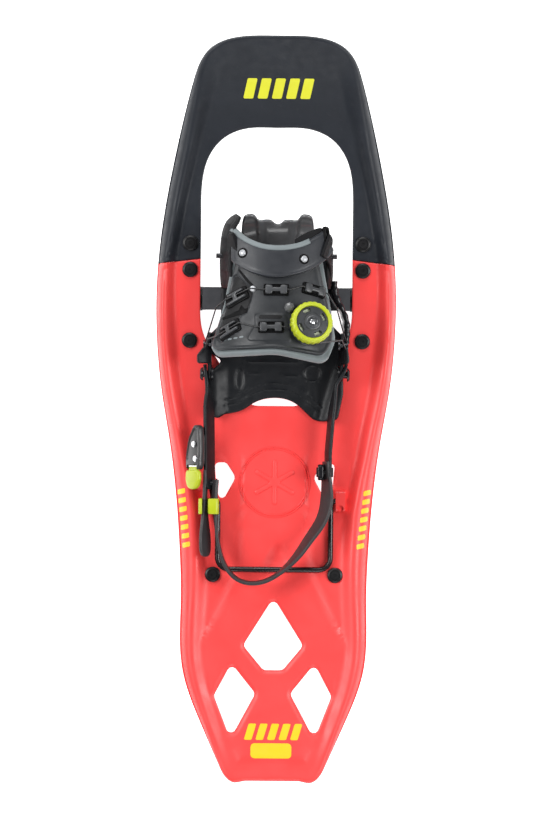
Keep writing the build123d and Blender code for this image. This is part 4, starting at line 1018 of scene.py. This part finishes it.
def make_toe_strap():
    """The strap over the toe, its lighter lining along the front edge, and its loop and free end."""
    front, rear = spline(STRAP_FRONT, 1.8), spline(STRAP_REAR, 1.8)
    outline = rounded(joined(front, rear), 1.0, 1.8)
    outline = joined(even(np.vstack([outline, outline[:1]]), 1.8))

    def top(p, e):
        return STRAP_LIFT + 3.2 - soften(e, 1.3) - 0.3 * bump(e, 2.6, 0.5)

    strap = sheet(outline, (), top, lambda p, e: STRAP_LIFT + soften(e, 0.8), pad_place, 2.4,
                  (0.3, 0.8, 1.4, 2.4, 3.2, 4.2))
    legs = [sweep(spline(path, 1.5), box_section(2.6, 20, 1.1), up=(0, 1, 0.4)) for path in (
        [(-33.5, 137, 81), (-37, 136, 76), (-39.2, 133, 66), (-41, 128, 52)],
        [(40.6, 137, 79), (43.2, 133, 71), (44.2, 126, 60), (44.2, 116, 50)])]
    piece("toe_strap_band", [strap], STRAP_BLACK, "binding", "strap_black", ["toe_strap"], sharp=42)
    piece("toe_strap_sides", legs, WALL_BLACK, "binding", "strap_black", sharp=42)

    run = spline(STRAP_FRONT[:-1], 1.8)
    out = normal_of(run)
    out *= np.sign(out[3, 1])
    run, out = run[1:-3], out[1:-3]  # the ends have no true normal
    edge = joined(run + out * 0.6, (run - out * 3.9)[::-1])
    lining = sheet(edge, (), over(STRAP_LIFT + 4.0, 1.4), under(STRAP_LIFT - 1.4, 1.2),
                   pad_place, 2.0)
    lined = piece("toe_strap_lining", [lining], TRIM_GREY, "binding", "foam_grey", sharp=50)

    frame_outline = rounded([(35.6, 137.6), (40.2, 138.6), (38.6, 151), (34.2, 152)], 1.6, 1.0)
    opening = rounded([(37.3, 139.6), (38.4, 139.9), (37.4, 148.6), (36.3, 148.8)], 0.5, 0.8)
    frame_part = sheet(frame_outline, [opening], over(STRAP_LIFT + 4.4, 0.9),
                       under(STRAP_LIFT + 0.9, 0.9), pad_place, 1.6, (0.3, 0.8))
    piece("toe_strap_loop", [frame_part], RECESS_BLACK, "binding", "base_black", ["toe_buckle"], sharp=45)

    wedge = rounded([(13.6, 140.4), (19.4, 144.6), (25, 147.6), (30, 149.8), (35.4, 151.4), (36.6, 146),
                     (34, 139), (24, 136), (15.6, 135.2)], [1.6, 8, 8, 8, 2, 3, 4, 6, 2], 1.4)
    free_end = sheet(wedge, (), lambda p, e: STRAP_LIFT + 1.6 - soften(e, 1.2) - 0.25 * bump(e, 2, 0.5),
                     under(STRAP_LIFT - 1.8, 1.0), pad_place, 1.8, (0.3, 0.8, 1.4, 2.0, 2.6))
    piece("toe_strap_tip", [free_end], WALL_BLACK, "binding", "strap_black", ["toe_strap_end"], sharp=45)

    knob = [(2.0, -6), (2.0, 0.2), (2.7, 0.25), (2.8, 1.0), (2.3, 1.6), (1.4, 1.9), (0.3, 2.0)]
    rim = [(4.2, -0.6), (4.4, 0.3), (4.1, 0.75), (3.3, 0.75), (3.0, 0.3), (2.6, 0.3)]
    seats = [pad_matrix(x, y, STRAP_LIFT + 2.9) for x, y in STUDS]
    heads, rims = [lathe(knob, seat, 32) for seat in seats], [lathe(rim, seat, 36) for seat in seats]
    piece("toe_strap_stud_heads", heads, STUD_SILVER, "binding", "fastener_steel", ["toe_strap_studs"],
          sharp=35)
    piece("toe_strap_stud_rims", rims, RECESS_BLACK, "binding", "guide_black", sharp=35)


# ---------------------------------------------------------------- instep pad
LINER = [(-54.8, 51.5), (-50, 43.6), (0, 46.8), (43, 38.5), (50.5, 58), (46, 86), (37, 136), (18, 128),
         (0, 125), (-18, 128), (-35, 138), (-44, 88)]
SHELL = [(-52.4, 53.6), (-48.5, 48.8), (0, 51), (39, 44.6), (46.5, 60), (42, 86), (32.5, 130), (18, 124),
         (0, 121), (-18, 124), (-31.5, 132), (-40.5, 88)]
SIDE_PANEL = [(-33, 113), (-20.5, 101.5), (-19, 95), (-23.5, 80), (-29.5, 77.5), (-30.5, 66), (-44.5, 54.5),
              (-46.8, 58), (-39.5, 92), (-35, 108)]
REAR_PANEL = [(-17, 79), (7, 79), (9, 74), (13, 57), (-24, 57), (-16.5, 70)]


def make_pad():
    """The foam liner, whose soft edge shows all round, and the moulded shell with its sunk panels."""
    outline = rounded(LINER, [7, 7, 60, 8, 16, 60, 6, 20, 60, 20, 6, 60], 2.0)

    def puff(p, e):
        roll = 1.5 * bump(e, 2.4, 1.3)
        return -0.3 - soften(e, 2.3) + roll * smooth(e / 1.5)

    liner = sheet(outline, (), puff, under(-5.6, 2.2), pad_place, 3.0,
                  (0.3, 0.8, 1.4, 2.0, 2.7, 3.6, 4.6))
    pad = piece("instep_foam", [liner], FOAM_GREY, "binding", "foam_grey", ["instep_liner"], sharp=60)

    shell_outline = rounded(SHELL, [6, 6, 60, 8, 18, 60, 5, 20, 60, 20, 5, 60], 2.0)
    side_panel, rear_panel = rounded(SIDE_PANEL, 2.0, 1.6), rounded(REAR_PANEL, 2.0, 1.6)
    detail = [loop + normal_of(loop) * d for loop in (side_panel, rear_panel) for d in (-0.9, -0.3, 0.3, 0.9)]

    def signed(loop, p):
        return np.where(inside(loop, p), 1, -1) * distance(loop, p)

    def top(p, e):
        sunk = 0.9 * smooth(signed(side_panel, p) / 1.2 + 0.5)
        raised = 0.7 * smooth(signed(rear_panel, p) / 1.4 + 0.5)
        rim = 0.35 * bump(e, 1.6, 0.7)
        groove = 0.5 * bump(e, 3.4, 0.6)
        return SHELL_TOP - soften(e, 1.1) - sunk + raised + rim - groove

    shell = sheet(shell_outline, (), top, under(0.05, 0.7), pad_place, 2.6,
                  (0.3, 0.8, 1.3, 2.2, 3.0, 3.8, 5.0), np.concatenate(detail))
    piece("instep_shell_moulding", [shell], SHELL_GREY, "binding", "shell_grey", ["instep_shell"], sharp=40)

    def on_shell(lift, radius=0.0):
        return lambda p, e: top(p, e + 6) + lift - soften(e, radius)

    inlay = rounded([(x * 0.97 - 0.6, 84 + (y - 84) * 0.95) for x, y in SIDE_PANEL], 2.0, 1.6)
    # the slot is a black bar laid over the raised rear panel: painted shade of a sunk slot; the side inlay is
    # the panel's own black
    slot = rounded([(-13, 78.2), (4.5, 78.2), (5.5, 74.8), (-14.5, 74.8)], 1.0, 1.2)
    black = [sheet(inlay, (), over(SHELL_TOP - 0.65, 0.25), under(0.6),
                   pad_place, 3.0, (0.3,)),
             sheet(slot, (), over(SHELL_TOP + 0.95, 0.5), under(1.0),
                   pad_place, 3.0, (0.4,))]
    piece("shell_inlay_and_slot_shade", black, PANEL_AND_SLOT_SHADE_BLACK, "binding", "guide_black", sharp=40)
    # near-black sheets laid just over the shell along its grooves: painted shade in the grooves, which are
    # not cut into the shell
    groove_shade_outlines = [[(-43.4, 73.8), (-23.4, 80), (-22.4, 84.2), (-25.5, 83.2), (-28.2, 87), (-30.2, 82.2),
             (-42.8, 76.6)],
            [(-31, 115.6), (-29.4, 115.8), (-22, 107), (-17.6, 102.2), (-19.2, 101), (-25, 107)]]
    groove_shade_parts = [sheet(rounded(shade_outline, 0.4, 0.9), (), on_shell(0.42, 0.2), under(0.4), pad_place, 2.4, (0.3,))
               for shade_outline in groove_shade_outlines]
    piece("shell_groove_shade", groove_shade_parts, RECESS_BLACK, "binding", "guide_black", sharp=40)

    boss = [(4.6, 0), (4.4, 1.8), (3.4, 3.2), (2.0, 3.9), (0.6, 4.1)]
    eyelet = [(2.6, 0), (2.6, 1.6), (2.0, 2.6), (0.9, 2.6), (0.7, 2.0)]
    piece("shell_boss", [lathe(boss, pad_matrix(10.6, 84.6, SHELL_TOP - 0.3), 8)], CUP_GREY, "binding",
          "shell_grey", sharp=28)
    piece("shell_eyelet", [lathe(eyelet, pad_matrix(-18.6, 99.6, SHELL_TOP - 0.4), 20)], STUD_SILVER,
          "binding", "fastener_steel", sharp=28)

    dashes = []
    for i in range(4):
        x, y = -41.5 + 4.6 * i, 57.2 + 0.9 * i
        bar = rounded([(x - 1.7, y - 0.9), (x + 1.5, y - 0.4), (x + 1.9, y + 1.0), (x - 1.3, y + 0.5)],
                      0.3, 0.8)
        dashes.append(sheet(bar, (), on_shell(0.12), on_shell(-0.3), pad_place, 2.0, ()))
    piece("shell_marking", dashes, TRIM_GREY, "binding", "foam_grey")


GUIDES = [(0, 99, 0), (-4, 68, 0), (30, 99, -8)]  # X and Y over the pad, and the turn in degrees
SIDE_GUIDES = [(-32.2, 93, 20), (-37.4, 66.2, 20)]


def make_guides():
    """Each guide: a black foot with a raised edge, and a grey H over the lace."""
    bar, half, deep, neck = 5.6, 9.0, 3.7, 1.6
    h = [(-half, -deep), (-half + bar, -deep), (-half + bar, -neck), (half - bar, -neck), (half - bar, -deep),
         (half, -deep), (half, deep), (half - bar, deep), (half - bar, neck), (-half + bar, neck),
         (-half + bar, deep), (-half, deep)]
    foot = oblong((-10.6, -4.9), (10.6, 4.9), 1.2, 1.2)
    rail = [(-9.6, -4.6), (9.8, -4.0), (9.8, -2.2), (1.8, -2.2), (1.8, 2.0), (8.8, 2.0), (8.8, 3.8),
            (-6.6, 3.8), (-6.6, 2.0), (-1.8, 2.0), (-1.8, -2.2), (-9.2, -2.8)]
    tray = rounded([(-12.4, -6.4), (11.2, -5.6), (11.4, 5.6), (-8.6, 5.8)], [2.5, 1.2, 1.2, 1.2], 1.2)
    feet, bridges = [], []
    for x, y, turn in SIDE_GUIDES:
        place = pad_matrix(x, y, SHELL_TOP, turn)
        feet.append(moved(slab(tray, -2.4, 0.5, 0.3, step=2.0), place))
        bridges.append(moved(slab(rounded(rail, 0.5, 1.0), 0.3, 3.1, 0.6), place))
    for x, y, turn in GUIDES:
        place = pad_matrix(x, y, SHELL_TOP, turn)
        feet.append(moved(sheet(foot, (), lambda p, e: 0.9 + 0.8 * bump(e, 0.8, 0.5) - soften(e, 0.4),
                                under(-2.6), flat, 2.0, (0.3, 0.8, 1.3, 2.0)), place))
        bridges.append(moved(slab(rounded(h, 0.5, 1.0), 0.6, 3.5, 0.6), place))
    piece("guide_feet", feet, RECESS_BLACK, "binding", "guide_black", sharp=40)
    piece("guide_bridges", bridges, GUIDE_GREY, "binding", "guide_black", ["lace_guides"], sharp=40)


# ---------------------------------------------------------------- dial
def make_dial():
    """Base, scalloped ring, windowed grip over a bright plate, and the hub with its hexagon."""
    spin = joint("dial_spin")
    up = Vector(spin["axis"]).normalized()
    side = Vector((1, 0, 0)) - up * up.x
    side.normalize()
    seat = axes_at(Vector(spin["pos_m"]) / MM, side, up.cross(side), up)
    low, high, outer, inner = 6.4, 15.4, 17.5, 13.5

    base_profile = [(13, -3), (17.2, -2.6), (17.0, 0.4), (16.2, 1.0), (16.0, 4.6), (15.2, 5.9), (11, 6.0),
                    (11, 1.7), (1, 1.6)]
    piece("dial_housing", [lathe(base_profile, seat, 56)], DIAL_BLACK, "binding", "dial_black", ["dial_base"])

    steps, rows = 144, [(inner, low), (outer - 0.7, low), (outer, low + 0.8), (outer, high - 2.2),
                        (outer - 0.5, high - 0.9), (outer - 1.5, high - 0.15), (outer - 2.6, high),
                        (inner + 0.5, high - 0.2), (inner, high - 0.8)]
    verts, faces = [], []
    for r, z in rows:
        for i in range(steps):
            turn = 2 * pi * i / steps
            dip = 0.55 * (0.5 + 0.5 * cos(24 * turn)) ** 2 if r > inner + 2 else 0
            verts.append(tuple(seat @ Vector(((r - dip) * cos(turn), (r - dip) * sin(turn), z))))
    for j in range(len(rows)):
        for i in range(steps):
            k, n = (i + 1) % steps, (j + 1) % len(rows)
            faces.append((j * steps + i, j * steps + k, n * steps + k, n * steps + i))
    piece("dial_ring_grip", [(np.array(verts), faces)], YELLOW, "dial_knob", "dial_yellow", ["dial_ring"],
          sharp=40)

    def kidney(start, stop, r_in, r_out):
        t = np.radians(np.linspace(start, stop, 9))
        arc = np.column_stack([np.cos(t), np.sin(t)])
        return rounded(np.vstack([arc * r_out, arc[::-1] * r_in]), 0.5, 0.9)

    def cover_top(p, e):
        return high - 1.6 + 0.9 * (1 - np.hypot(*p.T) / inner) - soften(e, 0.4)

    windows = [kidney(a, a + 34, 9.2, 11.8) for a in (100, 190, 280, 10)]
    cover = sheet(circle(inner - 0.1, 1.2), windows, cover_top, under(high - 4.2), flat, 2.0, (0.3, 0.8))
    piece("dial_grip_cover", [moved(cover, seat)], DIAL_BLACK, "dial_knob", "dial_black", ["dial_grip"],
          sharp=35)
    plate = lathe([(7.2, low + 0.3), (13.2, low + 0.3), (13.2, high - 4.4), (7.2, high - 4.4)], seat, 48)
    piece("dial_grip_plate", [plate], DIAL_PLATE, "dial_knob", "dial_black", sharp=35)

    hub = lathe([(2.6, low + 1.2), (7.0, low + 1.2), (7.0, high - 0.7), (6.5, high - 0.1), (5.2, high + 0.2),
                 (4.0, high - 0.2), (3.4, high - 1.0), (0.5, high - 1.1)], seat, 48)
    hexagon = [(2.3 * cos(radians(60 * k)), 2.3 * sin(radians(60 * k))) for k in range(6)]
    nut = moved(slab(rounded(hexagon, 0.2, 0.8), high - 1.6, high - 0.1, 0.3), seat)
    piece("dial_hub", [hub], GUIDE_GREY, "dial_core", "dial_black", ["dial_cap"], sharp=35)
    piece("dial_hub_nut", [nut], FASTENER, "dial_core", "fastener_steel", sharp=35)


# ---------------------------------------------------------------- heel strap, arms and buckle
ARM_Z, BAND_Z = 45.5, 45.5
ARMS = {  # how far each leans in, in degrees, and its path
    "left": (-34, [(-58.7, 38), (-58.2, 30), (-55.4, 14), (-54.2, -50), (-53.8, -66)]),
    "right": (16, [(58.7, 39), (57.4, 33), (50.4, 22), (46.8, -4), (44.4, -35), (44.4, -60)]),
}
HEEL_PATH = [(42.6, -42), (43.4, -60), (43.2, -77), (38.6, -92), (29.4, -106), (21.2, -118), (10, -130.5),
             (-3, -140), (-17, -143.6), (-30, -140.6), (-41, -128), (-47, -106), (-49, -88), (-50.6, -58)]
TAIL_PATH = [(-57.4, -50), (-57.7, -90), (-57, -122)]


def bent(points, step=1.5, radius=7):
    """A line with each corner eased into an arc."""
    p = [np.array(q, float) for q in points]
    out = [p[0]]
    for before, corner, after in zip(p, p[1:], p[2:]):
        u, v, _, reach = eased(before, corner, after, radius, 0.45)
        a, b = corner + u * reach, corner + v * reach
        out += [(1 - t) ** 2 * a + 2 * t * (1 - t) * corner + t * t * b for t in np.linspace(0, 1, 9)]
    out.append(p[-1])
    return even(out, step)


def rounded_end(count, steps=5, least=0.45):
    """A scale that tapers a strap's width to a round end."""
    scale = np.ones(count)
    t = np.linspace(0, 1, steps + 1)[1:]
    scale[-steps:] = least + (1 - least) * np.sqrt(1 - t ** 2)
    return scale


def make_heel_strap():
    """Arms, the band round the heel and its free tail: flexible bands on edge that lean as they bend."""
    def height_only(scale):
        return np.column_stack([np.ones(len(scale)), scale])

    for side, (lean, points) in ARMS.items():
        line = bent(points)
        tilt, ends = lean * smooth((26 - line[:, 1]) / 26), rounded_end(len(line))
        scale = height_only(ends * ends[::-1])
        part = sweep(at_height(line, ARM_Z), box_section(3.0, 14, 1.2), tilt=tilt, scale=scale)
        piece("strap_side_arm_" + side, [part], BASE_BLACK, "heel_strap", "base_black", ["strap_arm_" + side],
              sharp=45)

    line = spline(HEEL_PATH, 1.6, (0, -1), (0, 1))
    at = np.linspace(0, 1, len(line))
    tilt = np.interp(at, [0, 0.07, 0.14, 0.24, 0.36, 0.46, 0.8, 0.9, 1.0],
                     [14, 30, 42, 34, 22, 5, 2, -10, -34])
    scale = height_only(np.interp(at, [0, 0.3, 1], [1, 0.97, 0.9]))
    band = sweep(at_height(line, BAND_Z), box_section(2.9, 14.6, 1.1), tilt=tilt, scale=scale)
    piece("heel_band", [band], BAND_BLACK, "heel_strap", "strap_black", ["heel_strap"], sharp=45)

    line = spline(TAIL_PATH, 1.4)
    at = np.linspace(0, 1, len(line))
    width = np.interp(at, [0, 0.55, 0.8, 1], [0.95, 0.9, 1.05, 1.0]) * rounded_end(len(line), 6, 0.2)
    tilt = np.interp(at, [0, 0.4, 0.75, 1], [-4, -8, -34, -36])
    part = sweep(at_height(line, BAND_Z), box_section(2.8, 14, 1.1), tilt=tilt, scale=height_only(width))
    piece("heel_band_tail", [part], BAND_BLACK, "heel_strap", "strap_black", ["strap_tail"], sharp=45)

    low, high = cad("strap_keeper")
    middle = centre_of("strap_keeper")
    wide, half, tall = (high - low) / 2
    outer = [(-wide, -tall), (wide, -tall), (wide, tall), (-0.6, tall), (-0.6, tall - 2.2),
             (wide - 2.1, tall - 2.2), (wide - 2.1, -tall + 2), (-wide + 2.4, -tall + 2),
             (-wide + 2.4, tall - 2.2), (-wide + 3.1, tall - 2.2), (-wide + 3.1, tall), (-wide, tall)]
    radii = [2.4, 2.4, 2.4, 0.6, 0.6, 1.2, 1.2, 1.2, 0.6, 0.4, 0.6, 2.0]

    def upright(p, height):
        return np.column_stack([p[:, 0] + middle[0], middle[1] - height, p[:, 1] + middle[2]])

    keeper = slab(rounded(outer, radii, 1.0), -half, half, 0.7, place=upright, step=2.5)
    piece("strap_keeper_loop", [keeper], YELLOW, "heel_strap", "dial_yellow", ["strap_keeper"], sharp=40)

    centre = centre_of("strap_anchor")
    block = oblong((-6.6, -7), (6.6, 7), 2.2, 1.2)

    def beside(p, height):
        return np.column_stack([centre[0] - height, centre[1] + p[:, 0], centre[2] + p[:, 1]])

    piece("strap_anchor_block", [slab(block, -2.2, 2.6, 1.0, [circle(3.9, 1.2)], beside, 2.5)], BLACK_GLOSS,
          "heel_strap", "base_black", ["strap_anchor"], sharp=40)


def make_buckle():
    """The cam buckle's rounded housing with a sunk face, and its flip lever with a finger pad."""
    flip = joint("buckle_lever_flip")
    across = -Vector(flip["axis"]).normalized()
    along = Vector((0, -1, 0))
    out = along.cross(across)
    out *= -1 if out.z < 0 else 1
    pivot, depth = Vector(flip["pos_m"]) / MM, 2.6
    seat = axes_at(pivot + along * pivot.y + out * depth, along, across, out)

    outline = rounded([(12.5, 5.5), (14, 9), (33, 10), (49.4, 9.4), (50, 0), (49.4, -9.4), (38, -9.8),
                       (24, -5.5), (12.8, 2.5)], [2, 5, 14, 3, 20, 3.5, 12, 20, 2], 1.5)

    def top(p, e):
        sunk = 0.9 * smooth((e - 1.9) / 0.8) * smooth((43 - p[:, 0]) / 2)
        dome = 1.2 * (1 - (p[:, 1] / 10) ** 2) - 0.5
        slot_cut = np.where((p[:, 0] > 46.2) & (np.abs(p[:, 1]) < 6.7), -4.8, 0)
        return dome - sunk - soften(e, 1.6) + slot_cut

    body = sheet(outline, (), top, under(-6.2, 1.5), flat, 1.6, (0.3, 0.8, 1.5, 2.2, 3.0))
    foot = slab(oblong((19, -3), (47, 7.4), 3, 1.5), -9.5, -5.6, 1.0)
    parts = [moved(body, seat), moved(foot, seat)]
    piece("buckle_body", parts, BUCKLE_GREY, "heel_strap", "buckle_grey", ["buckle_housing"], sharp=35)

    screw = [(1.5, -4), (1.5, -0.2), (2.7, -0.1), (2.7, 0.5), (2.2, 1.05), (1.2, 1.2), (0.9, 0.7), (0.2, 0.7)]
    places = (28.5, 3, 0), (40.5, 5.4, 0)
    screws = [moved(lathe(screw, Matrix.Translation(place), 28), seat) for place in places]
    piece("buckle_screw_heads", screws, FASTENER, "heel_strap", "fastener_steel", ["buckle_screws"], sharp=35)

    paddle = rounded([(50.3, -9), (58, -9.8), (64.5, -6.5), (66.4, 0.5), (64.5, 7), (58, 9.8), (50.3, 9.4)],
                     [2, 6, 6, 8, 6, 6, 2], 1.4)

    def paddle_top(p, e):
        x, y = p.T
        ridges = 0.3 * np.cos((x - 56) * 2 * pi / 2.6) * smooth((x - 56) / 2) * smooth((63 - x) / 2)
        return 0.9 - 0.012 * y ** 2 - soften(e, 1.5) + ridges * smooth((7 - np.abs(y)) / 2)

    lever = [moved(sheet(paddle, (), paddle_top, under(-3.9, 1.4), flat, 1.2),
                   seat)]
    tongue = oblong((46.5, -6.1), (54, 6.1), 1.0, 1.2)
    lever.append(moved(slab(tongue, -4.1, -1.1, 1.0), seat))
    piece("buckle_lever_grip", lever, YELLOW, "buckle_lever", "lever_yellow", ["buckle_lever"], sharp=35)


make_footbed()
make_brace()
make_cup()
make_cage()
make_toe_strap()
make_pad()
make_guides()
make_dial()
make_heel_strap()
make_buckle()
